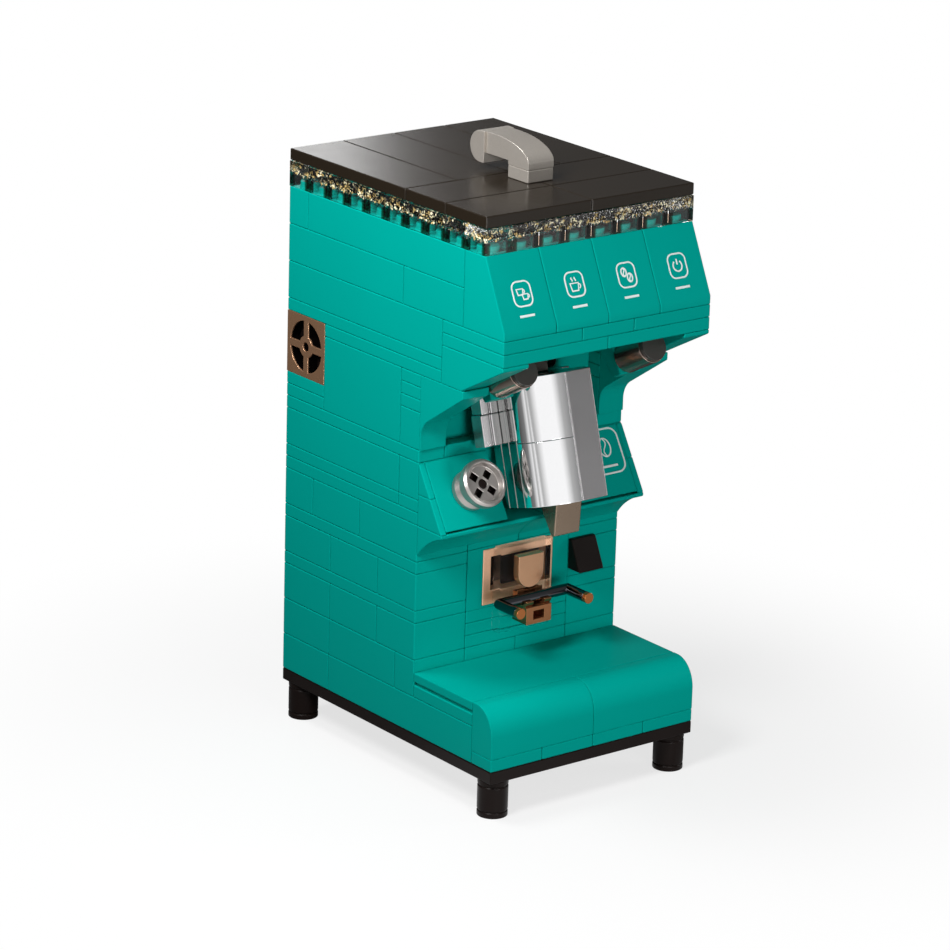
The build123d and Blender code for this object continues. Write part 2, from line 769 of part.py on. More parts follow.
def make_inverted_slopes():
    top, low = z_at(OVERHANG_LOW), z_at(TILE_TOP)
    rear = y_at(SHOULDER_DEPTH) - SIDE_GAP
    front = y_at(DEPTH_STUDS) + SIDE_GAP
    heel = y_at(SHOULDER_DEPTH + 1)
    outline = ((rear, low), (rear, top), (front, top), (front, top - INVERTED_LIP), (heel, low))
    pieces = []
    for left in (0, WIDTH_STUDS - 1):
        pieces.append(prism(outline, x_at(left) + SIDE_GAP, x_at(left + 1) - SIDE_GAP))
    return pieces


def make_overhang_plates():
    """Two layers of plates that carry the front slopes."""
    pieces = []
    for index, low in enumerate((OVERHANG_LOW, OVERHANG_LOW + 1)):
        for left, right in spans_across(3 if index else 2):
            pieces.append(brick(left, right, SHOULDER_DEPTH, DEPTH_STUDS, low, low + 1))
    return pieces


def make_ceiling_plates():
    """Plates that close the recess from above, back to its wall."""
    rear = COLUMN_DEPTH - 1 - RECESS_SETBACK / STUD
    span = (1, WIDTH_STUDS - 1, rear, SHOULDER_DEPTH)
    return [brick(*span, low, low + 1) for low in (OVERHANG_LOW, OVERHANG_LOW + 1)]


def make_front_slopes():
    rear = y_at(SLOPE_REAR) - SIDE_GAP
    front = y_at(DEPTH_STUDS) + SIDE_GAP
    crest = y_at(LID_DEPTH)
    low, top = z_at(SLOPE_LOW), z_at(RIM_TOP)
    outline = ((rear, low), (rear, top), (crest, top), (front, low + SLOPE_LIP), (front, low))
    pieces = []
    for left, right in spans_across(4):
        slope = prism(outline, x_at(left) + SIDE_GAP, x_at(right) - SIDE_GAP)
        for stud in range(left, right):
            slope += knob_stud(stud + 0.5, LID_DEPTH - 0.5, RIM_TOP)
        pieces.append(slope)
    return pieces


def lamp_frame(side):
    """Plane on a lamp's face: local Z points out of the face, forward and up."""
    lean = math.radians(LAMP_TILT)
    centre = (side * LAMP_X, LAMP_FRONT_Y, z_at(OVERHANG_LOW) - LAMP_DIAMETER / 2)
    return Plane(origin=centre, x_dir=(1, 0, 0), z_dir=(0, -math.cos(lean), math.sin(lean)))


def make_lamp_brackets():
    """Hangers under the ceiling that carry the lamps' rear ends."""
    radius = LAMP_DIAMETER / 2
    back = -LAMP_FACE - LAMP_LENGTH - SIDE_GAP
    frame = lamp_frame(0)
    low = frame.from_local_coords((0, -radius, back))
    high = frame.from_local_coords((0, radius, back))
    heel = frame.from_local_coords((0, -radius, back - BRACKET_DEPTH))
    ceiling = z_at(OVERHANG_LOW)
    rear = high.Y + STUD
    outline = (
        (low.Y, low.Z),
        (high.Y, high.Z),
        (high.Y, ceiling),
        (rear, ceiling),
        (rear, high.Z),
        (heel.Y, heel.Z),
    )
    brackets = []
    for side in (-1, 1):
        x = side * LAMP_X
        brackets.append(prism(outline, x - BRACKET_WIDTH / 2, x + BRACKET_WIDTH / 2))
    return brackets


def make_lamps(start, length, diameter):
    """Two round pieces that lie along the lamps' axes."""
    lamps = []
    for side in (-1, 1):
        lamps.append(lamp_frame(side) * Pos(0, 0, -start - length / 2) * Cylinder(diameter / 2, length))
    return lamps


# Hopper


def make_side_rim(left):
    low, high, joints = RIM_COURSE
    pieces = []
    for rear, front in zip(joints, joints[1:]):
        piece = brick(left, left + 1, rear, front, low, high)
        for step in range(int(front - rear)):
            piece += knob_stud(left + 0.5, rear + step + 0.5, high)
        pieces.append(piece)
    return pieces


def make_rear_rim():
    pieces = []
    for left, right in ((1, 4), (4, WIDTH_STUDS - 1)):
        piece = brick(left, right, 0, 1, RIM_COURSE[0], RIM_TOP)
        for step in range(int(right - left)):
            piece += knob_stud(left + step + 0.5, 0.5, RIM_TOP)
        pieces.append(piece)
    return pieces


def make_hopper_floor():
    return [brick(1, WIDTH_STUDS - 1, 1, SLOPE_REAR, RIM_TOP - 1, RIM_TOP)]


def make_clear_rail(left, right, rear, front):
    """Clear rail with a groove below that clears the studs it stands over."""
    rail = brick(left, right, rear, front, RIM_TOP, LID_LOW)
    centre = rail.bounding_box().center()
    size = rail.bounding_box().size
    groove_z = z_at(RIM_TOP) + RAIL_GROOVE_HEIGHT / 2
    wide = RAIL_GROOVE_WIDTH
    wall = (STUD - RAIL_GROOVE_WIDTH) / 2
    if size.X > size.Y:
        groove = Box(size.X - wall, wide, RAIL_GROOVE_HEIGHT)
    else:
        groove = Box(wide, size.Y - wall, RAIL_GROOVE_HEIGHT)
    return rail - Pos(centre.X, centre.Y, groove_z) * groove


def make_clear_rails():
    """Ring of four clear rails between the rim and the lid."""
    right = WIDTH_STUDS
    return [
        make_clear_rail(0, 1, 1, SLOPE_REAR),
        make_clear_rail(right - 1, right, 1, SLOPE_REAR),
        make_clear_rail(0, right, SLOPE_REAR, LID_DEPTH),
        make_clear_rail(0, right, 0, 1),
    ]


def make_coffee_beans():
    """Round bean pieces studded all over the hopper's floor."""
    beans = []
    for stud in range(1, int(WIDTH_STUDS) - 1):
        for depth in range(1, int(SLOPE_REAR)):
            if (stud + depth) % 2:
                continue
            centre = Pos(x_at(stud + 0.5), y_at(depth + 0.5), z_at(RIM_TOP) + BEAN_HEIGHT / 2)
            beans.append(centre * Cylinder(BEAN_DIAMETER / 2, BEAN_HEIGHT))
    return beans


# Lid and handle

LID_ROW_A = LID_DEPTH - 4
LID_ROW_B = LID_DEPTH - 2
HANDLE_FRONT = LID_ROW_B - 0.5
LID_FACE = z_at(LID_TOP)


def make_lid_plate():
    inset = LID_SIDE_GAP
    return [
        box(
            x_at(1) + inset,
            x_at(WIDTH_STUDS - 1) - inset,
            y_at(SLOPE_REAR) + inset,
            y_at(1) - inset,
            z_at(LID_LOW - 1),
            z_at(LID_LOW) + LID_GAP,
        )
    ]


def lid_tile(left, right, rear, front):
    """A lid tile, its underside lifted clear of the clear rails."""
    return brick(left, right, rear, front, LID_LOW + LID_GAP / PLATE, LID_TOP)


def make_lid_rear_tiles():
    return [lid_tile(left, right, 0, LID_ROW_A) for left, right in spans_across(4)]


def make_lid_front_tiles():
    tiles = []
    for rear, front in ((LID_ROW_A, LID_ROW_B), (LID_ROW_B, LID_DEPTH)):
        for left, right in spans_across(2):
            tiles.append(lid_tile(left, right, rear, front))
    return tiles


def make_handle_base():
    front = y_at(HANDLE_FRONT)
    half = HANDLE_WIDTH / 2
    return [box(-half, half, front, front + STUD, LID_FACE, LID_FACE + PLATE)]


def make_handle_arch():
    front = y_at(HANDLE_FRONT)
    rear = front + HANDLE_SPAN
    top = LID_FACE + HANDLE_HEIGHT
    shoulder = LID_FACE + HANDLE_SHOULDER
    beam = LID_FACE + HANDLE_BEAM_LOW
    bend = HANDLE_BEND
    edges = Polyline(
        (front + bend, top),
        (rear, top),
        (rear, beam),
        (front + STUD, beam),
        (front + STUD, LID_FACE + PLATE),
        (front, LID_FACE + PLATE),
        (front, shoulder),
    )
    edges += EllipticalCenterArc((front + bend, shoulder), bend, top - shoulder, 90, arc_size=90)
    return [curved_prism(edges, -HANDLE_WIDTH / 2, HANDLE_WIDTH / 2)]


def make_handle_grip():
    """Half-round grip at the free end of the arch."""
    near = y_at(HANDLE_FRONT) + HANDLE_SPAN
    far = near + GRIP_DEPTH
    bend = near + GRIP_DEPTH / 3
    low, top = LID_FACE + GRIP_LOW, LID_FACE + HANDLE_HEIGHT
    edges = Polyline((bend, low), (near, low), (near, top), (bend, top))
    edges += ThreePointArc((bend, top), (far, (low + top) / 2), (bend, low))
    return [curved_prism(edges, -GRIP_WIDTH / 2, GRIP_WIDTH / 2)]


# Chute: local X across, local Y up along the chute, local Z out of its front

CHUTE_LEAN = math.radians(CHUTE_TILT)
CHUTE_OUT = Vector(0, -math.cos(CHUTE_LEAN), math.sin(CHUTE_LEAN))
CHUTE_FOOT = (0, COLUMN_Y - CHUTE_FOOT_OUT, z_at(CHUTE_FOOT_UP))
CHUTE_FRAME = Plane(origin=CHUTE_FOOT, x_dir=(1, 0, 0), z_dir=CHUTE_OUT)
CHUTE_BACK = CHUTE_FRONT + CHUTE_LAYERS * PLATE


def chute_box(x_low, x_high, along_low, along_high, behind_low, behind_high):
    """A box in the chute's frame; depth is counted back from its front face."""
    return CHUTE_FRAME * box(x_low, x_high, along_low, along_high, -behind_high, -behind_low)


def make_chute_curves():
    """Two quarter-round fronts, one above the other, on the left."""
    edges = Polyline((0, 0), (0, -CHUTE_FRONT), (-CHUTE_LEFT, -CHUTE_FRONT))
    edges += EllipticalCenterArc((0, -CHUTE_FRONT), CHUTE_LEFT, CHUTE_FRONT, 90, arc_size=90)
    section = make_face(edges)
    pieces = []
    length = CHUTE_LENGTH / 2
    for low in (0, length):
        solid = extrude(Plane.XZ.offset(-low - SIDE_GAP) * section, amount=-(length - 2 * SIDE_GAP))
        pieces.append(CHUTE_FRAME * solid)
    return pieces


def make_chute_tile():
    return [chute_box(2 * SIDE_GAP, CHUTE_RIGHT, 0, CHUTE_LENGTH, 0, PLATE - SIDE_GAP)]


def make_chute_copper_plate():
    right = CHUTE_RIGHT + COPPER_OVERHANG
    return [chute_box(2 * SIDE_GAP, right, 0, CHUTE_LENGTH, PLATE, 2 * PLATE)]


def make_chute_layers():
    """A filler behind the copper plate, and the plates stacked behind the front."""
    layers = [chute_box(2 * SIDE_GAP, CHUTE_RIGHT, 0, CHUTE_LENGTH, 2 * PLATE + SIDE_GAP, CHUTE_FRONT)]
    for index in range(CHUTE_LAYERS):
        behind = CHUTE_FRONT + index * PLATE
        layers.append(
            chute_box(-CHUTE_LEFT, CHUTE_RIGHT, 0, CHUTE_LENGTH, behind + SIDE_GAP, behind + PLATE)
        )
    return layers


def make_chute_side_blocks():
    """Grooved blocks on both sides of the layers, each with a slightly narrower top piece."""
    blocks = []
    split = BLOCK_LOW + BLOCK_SPLIT
    for side, inner in ((-1, CHUTE_LEFT), (1, CHUTE_RIGHT)):
        for low, high, width in ((BLOCK_LOW, split, BLOCK_WIDTH), (split, BLOCK_TOP, BLOCK_TOP_WIDTH)):
            ends = sorted((side * (inner + SIDE_GAP), side * (inner + width)))
            solid = chute_box(*ends, low + SIDE_GAP, high, BLOCK_BEHIND, CHUTE_BACK)
            groove_x = side * (inner + width / 2)
            groove = (groove_x - BLOCK_GROOVE / 2, groove_x + BLOCK_GROOVE / 2)
            solid -= chute_box(*groove, low, high, BLOCK_BEHIND - SIDE_GAP, BLOCK_BEHIND + BLOCK_GROOVE)
            blocks.append(solid)
    return blocks


def make_chute_spout():
    """Wedge under the chute that narrows to its lip."""
    front = -SPOUT_SETBACK
    rear = front - SPOUT_DEPTH
    lip = rear + SPOUT_DEPTH / 2
    tip = SPOUT_TIP / 2
    edges = Polyline((0, front), (0, rear), (-SPOUT_DROP, lip - tip), (-SPOUT_DROP, lip + tip), close=True)
    return [CHUTE_FRAME * curved_prism(edges, -SPOUT_WIDTH / 2, SPOUT_WIDTH / 2)]


def chute_hinge_point():
    """Hinge axis of the chute, in the part's own frame."""
    return CHUTE_FRAME.from_local_coords((0, CHUTE_LENGTH + HINGE_ABOVE, -HINGE_BEHIND))


def make_chute_hinge_lug():
    """Lug on the chute's top with the hinge bar through it."""
    half = HINGE_LUG_WIDTH / 2
    reach = HINGE_BAR / 2 + HINGE_EAR_WALL
    top = CHUTE_LENGTH + HINGE_ABOVE
    lug = chute_box(-half, half, CHUTE_LENGTH, top, HINGE_BEHIND - reach, HINGE_BEHIND + reach / 2)
    point = chute_hinge_point()
    round_top = along_x(reach, HINGE_LUG_WIDTH, 0, point.Y, point.Z)
    bar = along_x(HINGE_BAR / 2, HINGE_LUG_WIDTH + 2 * (HINGE_EAR_WIDTH + BODY_GAP), 0, point.Y, point.Z)
    return [lug + round_top + bar]


def make_chute_hinge_ears():
    """Two ears on the recess wall that the hinge bar turns in."""
    point = chute_hinge_point()
    bore = HINGE_BAR / 2 + RUNNING_GAP
    reach = bore + HINGE_EAR_WALL
    wall = COLUMN_Y + RECESS_SETBACK + SIDE_GAP
    ears = []
    for side in (-1, 1):
        x = side * (HINGE_LUG_WIDTH / 2 + BODY_GAP + HINGE_EAR_WIDTH / 2)
        half = HINGE_EAR_WIDTH / 2
        ear = along_x(reach, HINGE_EAR_WIDTH, x, point.Y, point.Z)
        ear += box(x - half, x + half, point.Y, wall, point.Z - reach, point.Z + reach)
        ears.append(ear - along_x(bore, 2 * HINGE_EAR_WIDTH, x, point.Y, point.Z))
    return ears


LAST = WIDTH_STUDS - 1
LOWER_REAR = [course[:2] for course in LOWER_COURSES]
UPPER_REAR = ((26, 29), (29, 32), (32, 35), (35, 38), (38, 41))

NODES = {
    "feet": make_feet(),
    "base_plate": make_base_plate(),
    "tray_bricks": make_tray_bricks(),
    "tray_plates": make_tray_plates(),
    "tray_top_tiles": make_tray_top_tiles(),
    "tray_front_curves": make_tray_front_curves(),
    "tray_front_plates": make_tray_front_plates(),
    "left_wall_lower": make_side_wall_lower(0),
    "right_wall_lower": make_side_wall_lower(LAST),
    "rear_wall_lower": make_rear_wall(LOWER_REAR),
    "column_front_bricks": make_column_front(),
    "left_wall_upper": make_side_wall_upper(0),
    "right_wall_upper": make_side_wall_upper(LAST),
    "rear_wall_upper": make_rear_wall(UPPER_REAR),
    "side_stud_bricks": make_side_stud_bricks(),
    "side_tiles": make_side_tiles(),
    "vent_frame": make_vent_frame(),
    "vent_backing": make_vent_backing(),
    "frame_surround": make_frame_surround(),
    "copper_frame": make_copper_frame(),
    "frame_backing": make_frame_backing(),
    "clear_plate": make_clear_plate(),
    "dispense_button": make_dispense_button(),
    "switch_wedge": make_switch_wedge(),
    "fork_clip": make_fork_clip(),
    "fork_bar": make_fork(),
    "fork_tips": make_fork_tips(),
    "nose_panels": make_nose_panels(),
    "nose_end_strips": make_nose_end_strips(),
    "nose_undersides": make_nose_undersides(),
    "dial_pin": make_dial_pin(),
    "dial_wheel": make_dial(),
    "recess_wall_bricks": make_recess_wall(),
    "corbels": make_corbels(),
    "inverted_slopes": make_inverted_slopes(),
    "overhang_plates": make_overhang_plates(),
    "ceiling_plates": make_ceiling_plates(),
    "front_slopes": make_front_slopes(),
    "lamp_brackets": make_lamp_brackets(),
    "lamp_bodies": make_lamps(LAMP_FACE, LAMP_LENGTH, LAMP_DIAMETER),
    "lamp_faces": make_lamps(0, LAMP_FACE, LAMP_FACE_DIAMETER),
    "rim_bricks": make_side_rim(0) + make_side_rim(LAST) + make_rear_rim(),
    "hopper_floor": make_hopper_floor(),
    "clear_rails": make_clear_rails(),
    "coffee_beans": make_coffee_beans(),
    "lid_plate": make_lid_plate(),
    "lid_rear_tiles": make_lid_rear_tiles(),
    "lid_front_tiles": make_lid_front_tiles(),
    "handle_base": make_handle_base(),
    "handle_arch": make_handle_arch(),
    "handle_grip": make_handle_grip(),
    "chute_fronts": make_chute_curves(),
    "chute_front_tile": make_chute_tile(),
    "chute_layers": make_chute_layers(),
    "chute_copper_plate": make_chute_copper_plate(),
    "chute_side_blocks": make_chute_side_blocks(),
    "chute_spout": make_chute_spout(),
    "chute_hinge_lug": make_chute_hinge_lug(),
    "chute_hinge_ears": make_chute_hinge_ears(),
}

os.makedirs("parts", exist_ok=True)
for node_name, node_pieces in NODES.items():
    save(node_name, node_pieces)
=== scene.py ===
"""Looks of a toy coffee grinder built from moulded bricks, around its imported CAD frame."""

import json
import math

import bmesh
import bpy
from mathutils import Matrix, Vector


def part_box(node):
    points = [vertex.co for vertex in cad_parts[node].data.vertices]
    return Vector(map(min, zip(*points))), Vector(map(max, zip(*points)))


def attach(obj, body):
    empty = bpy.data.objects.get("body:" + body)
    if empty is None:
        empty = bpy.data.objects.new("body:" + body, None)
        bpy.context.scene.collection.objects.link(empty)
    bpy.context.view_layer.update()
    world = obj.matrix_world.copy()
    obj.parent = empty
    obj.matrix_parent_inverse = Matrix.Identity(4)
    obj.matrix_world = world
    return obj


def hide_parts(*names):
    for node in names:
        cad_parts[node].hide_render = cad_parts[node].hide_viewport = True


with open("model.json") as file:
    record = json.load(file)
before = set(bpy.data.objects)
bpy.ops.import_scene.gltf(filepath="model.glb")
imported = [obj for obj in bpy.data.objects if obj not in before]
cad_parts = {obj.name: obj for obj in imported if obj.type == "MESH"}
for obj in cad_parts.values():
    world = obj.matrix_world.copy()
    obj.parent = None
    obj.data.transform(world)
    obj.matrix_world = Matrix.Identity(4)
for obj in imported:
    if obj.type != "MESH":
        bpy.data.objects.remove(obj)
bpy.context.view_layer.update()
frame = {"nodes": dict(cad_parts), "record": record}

MM = 0.001
PITCH = 8 * MM
SCENE = bpy.context.scene
BEHAVIOUR = frame["record"]["behaviour"]
SLOT_OF = {row["node"]: row["material_slot"] for row in frame["record"]["subparts"]}
BODY_OF = {node: body for body, nodes in BEHAVIOUR["bodies"].items() for node in nodes}


# Colours


def paint(code):
    """Linear colour of a hex code."""
    channels = [int(code[i : i + 2], 16) / 255 for i in (0, 2, 4)]
    linear = [c / 12.92 if c <= 0.04045 else ((c + 0.055) / 1.055) ** 2.4 for c in channels]
    return (*linear, 1.0)


TEAL = paint("00A397")
BLACK = paint("191210")
LID_BROWN = paint("241D15")
PEARL = paint("B3ADA9")
DARK_GREY = paint("4A4643")
CHROME = paint("F6F6F7")
FLAT_SILVER = paint("D8D5D6")
# Flat silver darkened, a painted dark reflection on the chute's front tile
TILE_PAINTED_DARK_SILVER = paint("AEACAD")
HANDLE_SILVER = paint("C6BFB6")
# Chrome darkened, a painted dark reflection on the fork bar
FORK_PAINTED_DARK_CHROME = paint("55565A")
LAMP_CHROME = paint("A08F85")
# Chrome darkened, painted shade for the layers behind the chute
SHADED_LAYER_CHROME = paint("A6A8A6")
CLIP_COPPER = paint("A06C48")
TIP_COPPER = paint("B4703F")
COPPER = paint("CFA07C")
# Copper lightened, painted light against the shade that the nose casts on the frame
LIT_FRAME_COPPER = paint("FAC4A0")
TAN = paint("93806E")
BEAN = paint("4A2A17")
PRINT_WHITE = paint("EEF4F2")
CLEAR = (0.97, 0.985, 0.98, 1)
# Painted shade between the studs seen through the clear bricks
GAP_SHADE_BROWN = paint("5A3E2C")
# Tones of the chips of painted reflection in the clear bricks
DARK_CHIP = paint("0E0906")
OLIVE_CHIP = paint("6A5F40")
GOLD_CHIP = paint("CDB070")
CREAM_CHIP = paint("FFF3CC")


# Node helpers


def feed(tree, socket, item):
    """Links a socket to another one, or sets it to a plain value."""
    if isinstance(item, bpy.types.NodeSocket):
        tree.links.new(item, socket)
    else:
        socket.default_value = item


def object_place(tree):
    """The shaded point in the object's own coordinates."""
    return tree.nodes.new("ShaderNodeTexCoord").outputs["Object"]


def noise(tree, place, scale, detail=2.0):
    """A noise texture on the given coordinates."""
    node = tree.nodes.new("ShaderNodeTexNoise")
    node.inputs["Scale"].default_value = scale
    node.inputs["Detail"].default_value = detail
    tree.links.new(place, node.inputs["Vector"])
    return node.outputs["Fac"]


def cells(tree, place, scale):
    """Outputs of a cell texture on the given coordinates."""
    node = tree.nodes.new("ShaderNodeTexVoronoi")
    node.inputs["Scale"].default_value = scale
    tree.links.new(place, node.inputs["Vector"])
    return node.outputs


def cell_value(tree, place, scale):
    """A value from 0 to 1 that differs from cell to cell."""
    pick = tree.nodes.new("ShaderNodeSeparateColor")
    tree.links.new(cells(tree, place, scale)["Color"], pick.inputs["Color"])
    return pick.outputs["Red"]


def remap(tree, value, low, high, begin=0.0, finish=1.0):
    """A value between begin and finish, spread between low and high."""
    node = tree.nodes.new("ShaderNodeMapRange")
    limits = {"From Min": begin, "From Max": finish, "To Min": low, "To Max": high}
    for title, limit in limits.items():
        feed(tree, node.inputs[title], limit)
    tree.links.new(value, node.inputs["Value"])
    return node.outputs["Result"]


def blend(tree, factor, first, second):
    """One colour mix of two sockets or colours."""
    node = tree.nodes.new("ShaderNodeMix")
    node.data_type = "RGBA"
    sockets = {socket.name: socket for socket in node.inputs if socket.enabled}
    tree.links.new(factor, sockets["Factor"])
    feed(tree, sockets["A"], first)
    feed(tree, sockets["B"], second)
    return next(socket for socket in node.outputs if socket.enabled)


def ramp(tree, factor, stops):
    """Colour by position along a list of stops."""
    node = tree.nodes.new("ShaderNodeValToRGB")
    elements = node.color_ramp.elements
    for element, (position, colour) in ((elements[0], stops[0]), (elements[1], stops[-1])):
        element.position, element.color = position, colour
    for position, colour in stops[1:-1]:
        elements.new(position).color = colour
    tree.links.new(factor, node.inputs["Fac"])
    return node.outputs["Color"]


def maths(tree, operation, first, second=0.0):
    """One math node on two sockets or numbers."""
    node = tree.nodes.new("ShaderNodeMath")
    node.operation = operation
    feed(tree, node.inputs[0], first)
    feed(tree, node.inputs[1], second)
    return node.outputs["Value"]


def vectors(tree, operation, first, second=(0, 0, 0)):
    """One vector node; dot products and lengths give a number."""
    node = tree.nodes.new("ShaderNodeVectorMath")
    node.operation = operation
    feed(tree, node.inputs[0], first)
    feed(tree, node.inputs[1], second)
    return node.outputs["Value" if operation in ("DOT_PRODUCT", "LENGTH") else "Vector"]


def split(tree, vector):
    """The X, Y and Z of a vector."""
    node = tree.nodes.new("ShaderNodeSeparateXYZ")
    tree.links.new(vector, node.inputs["Vector"])
    return [node.outputs[axis] for axis in "XYZ"]


# Shader groups; texture scales count features per metre

TONE_SCALE, GLOSS_SCALE, GRAIN_SCALE, SWELL_SCALE = 38.0, 160.0, 2600.0, 240.0
GRAIN_SHARE = 0.25
FLAKE_SCALE, FLAKE_GLOSS_SCALE, FLAKE_SWELL_SCALE = 4200.0, 210.0, 300.0
SKIN_OUTPUTS = (
    ("Colour", "NodeSocketColor"),
    ("Roughness", "NodeSocketFloat"),
    ("Height", "NodeSocketFloat"),
)


def skin_group(name, inputs):
    """An empty shader group with named inputs and a skin's outputs, and its two end nodes."""
    group = bpy.data.node_groups.new(name, "ShaderNodeTree")
    for title, kind, value in inputs:
        group.interface.new_socket(title, in_out="INPUT", socket_type=kind).default_value = value
    for title, kind in SKIN_OUTPUTS:
        group.interface.new_socket(title, in_out="OUTPUT", socket_type=kind)
    return group, group.nodes.new("NodeGroupInput").outputs, group.nodes.new("NodeGroupOutput").inputs


def vary_tone(group, given, made, value, amount):
    """Lightens and darkens the group's colour by a value, as far as the named input allows."""
    low, high = (maths(group, operation, 1.0, given[amount]) for operation in ("SUBTRACT", "ADD"))
    tone = group.nodes.new("ShaderNodeHueSaturation")
    group.links.new(given["Colour"], tone.inputs["Color"])
    group.links.new(remap(group, value, low, high), tone.inputs["Value"])
    group.links.new(tone.outputs["Color"], made["Colour"])


def vary_gloss(group, given, made, value):
    """Spreads the roughness between the group's two limits."""
    gloss = remap(group, value, given["Gloss Low"], given["Gloss High"])
    group.links.new(gloss, made["Roughness"])


def make_moulded_group():
    """Moulded plastic: faint tone drift, a soft gloss that varies and a fine skin."""
    inputs = (
        ("Colour", "NodeSocketColor", (0.5, 0.5, 0.5, 1)),
        ("Tone Drift", "NodeSocketFloat", 0.05),
        ("Gloss Low", "NodeSocketFloat", 0.22),
        ("Gloss High", "NodeSocketFloat", 0.34),
        ("Skin", "NodeSocketFloat", 0.4),
    )
    group, given, made = skin_group("moulded_skin", inputs)
    place = object_place(group)
    vary_tone(group, given, made, noise(group, place, TONE_SCALE, 3.0), "Tone Drift")
    vary_gloss(group, given, made, noise(group, place, GLOSS_SCALE, 4.0))
    grain = maths(group, "MULTIPLY", noise(group, place, GRAIN_SCALE), GRAIN_SHARE)
    skin = maths(group, "ADD", grain, noise(group, place, SWELL_SCALE, 1.0))
    group.links.new(maths(group, "MULTIPLY", skin, given["Skin"]), made["Height"])
    return group


def make_flake_group():
    """Metallic pigment in plastic: fine flakes of differing tone and a gloss that varies."""
    inputs = (
        ("Colour", "NodeSocketColor", (0.5, 0.5, 0.5, 1)),
        ("Flake", "NodeSocketFloat", 0.12),
        ("Gloss Low", "NodeSocketFloat", 0.2),
        ("Gloss High", "NodeSocketFloat", 0.35),
    )
    group, given, made = skin_group("metal_flake", inputs)
    place = object_place(group)
    vary_tone(group, given, made, cell_value(group, place, FLAKE_SCALE), "Flake")
    vary_gloss(group, given, made, noise(group, place, FLAKE_GLOSS_SCALE, 3.0))
    group.links.new(noise(group, place, FLAKE_SWELL_SCALE), made["Height"])
    return group


MOULDED = make_moulded_group()
FLAKE = make_flake_group()


# Materials

SKIN_RELIEF, CLEAR_RELIEF = 0.2 * MM, 0.3 * MM
SKIN_HEIGHT = 0.3
# Depth and reach of the painted shade in the vent's openings and in the dial's slots
VENT_DEPTH, VENT_REACH = 0.4 * MM, 7 * MM
DIAL_DEPTH, DIAL_REACH = 1.65 * MM, 4.1 * MM
PLATE_BEND, BRICK_BEND = 1.17, 1.45
PLATE_RIPPLE, BRICK_FACETS = 0.03, 0.6
HAZE_LOW, HAZE_HIGH = 0.01, 0.06
HAZE_SCALE, RIPPLE_SCALE, FACET_SCALE, CHIP_SCALE = 300.0, 500.0, 1300.0, 900.0
FACETS_BEGIN, FACETS_FULL = 143.6 * MM, 144.2 * MM
# Where the painted shade between the studs begins and where it is full
GAP_BEGINS, GAP_FULL = 1.7 * MM, 1.3 * MM
CHIP_ROUGHNESS = 0.4
CHIP_TONES = ((0, DARK_CHIP), (0.34, OLIVE_CHIP), (0.48, GOLD_CHIP), (0.76, CREAM_CHIP))


def new_material(name):
    """A material with its node tree and its Principled shader."""
    material = bpy.data.materials.new(name)
    material.use_nodes = True
    return material, material.node_tree, material.node_tree.nodes["Principled BSDF"]


def add_relief(tree, shader, strength, distance):
    """A bump on a shader; gives the socket for its height."""
    relief = tree.nodes.new("ShaderNodeBump")
    relief.inputs["Strength"].default_value = strength
    relief.inputs["Distance"].default_value = distance
    tree.links.new(relief.outputs["Normal"], shader.inputs["Normal"])
    return relief.inputs["Height"]


def shaded(name, group, values, bump):
    """A material whose colour, gloss and skin come from a shared group."""
    material, tree, shader = new_material(name)
    part = tree.nodes.new("ShaderNodeGroup")
    part.node_tree = group
    for title, value in values.items():
        part.inputs[title].default_value = value
    tree.links.new(part.outputs["Colour"], shader.inputs["Base Color"])
    tree.links.new(part.outputs["Roughness"], shader.inputs["Roughness"])
    tree.links.new(part.outputs["Height"], add_relief(tree, shader, bump, SKIN_RELIEF))
    return material, shader


def moulded(name, colour, low, high, drift=0.03, shine=0.2, bump=0.02):
    """Plain moulded plastic with a gloss between low and high."""
    values = {"Colour": colour, "Tone Drift": drift, "Gloss Low": low, "Gloss High": high}
    material, shader = shaded(name, MOULDED, {**values, "Skin": SKIN_HEIGHT}, bump)
    shader.inputs["Specular IOR Level"].default_value = shine
    return material


def metallic(name, colour, low, high, flake, metal, bump=0.02):
    """Plated or metallic plastic with a gloss between low and high."""
    values = {"Colour": colour, "Flake": flake, "Gloss Low": low, "Gloss High": high}
    material, shader = shaded(name, FLAKE, values, bump)
    shader.inputs["Metallic"].default_value = metal
    return material


def painted_hollow_shade(material, point, outward, depth, reach):
    """Painted shade: blackens what lies deeper than depth behind a point, within reach of the axis
    through it.
    """
    tree = material.node_tree
    base = tree.nodes["Principled BSDF"].inputs["Base Color"]
    colour = base.links[0].from_socket
    away = vectors(tree, "SUBTRACT", object_place(tree), point)
    along = vectors(tree, "DOT_PRODUCT", away, outward)
    radius = vectors(tree, "LENGTH", vectors(tree, "CROSS_PRODUCT", away, outward))
    deep = maths(tree, "LESS_THAN", along, -depth)
    near = maths(tree, "LESS_THAN", radius, reach)
    tree.links.new(blend(tree, maths(tree, "MULTIPLY", deep, near), colour, BLACK), base)
    return material


def make_vent():
    """Copper with painted shade, black, in its openings."""
    low, high = (Vector(corner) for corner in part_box("vent_frame"))
    face = Vector((low.x, (low.y + high.y) / 2, (low.z + high.z) / 2))
    material = metallic("vent_copper", COPPER, 0.2, 0.3, 0.06, 0.75)
    return painted_hollow_shade(material, face, (-1, 0, 0), VENT_DEPTH, VENT_REACH)


def make_dial():
    """Silver with painted shade, black, in the slots of the dial's outer face."""
    turn = next(row for row in BEHAVIOUR["joints"] if row["name"] == "dial_turn")
    foot, outward = Vector(turn["pos_m"]), Vector(turn["axis"])
    tip = max((corner.co - foot).dot(outward) for corner in frame["nodes"]["dial_wheel"].data.vertices)
    material = metallic("dial_silver", PEARL, 0.26, 0.32, 0.04, 0.8, bump=0.006)
    return painted_hollow_shade(material, foot + outward * tip, outward, DIAL_DEPTH, DIAL_REACH)


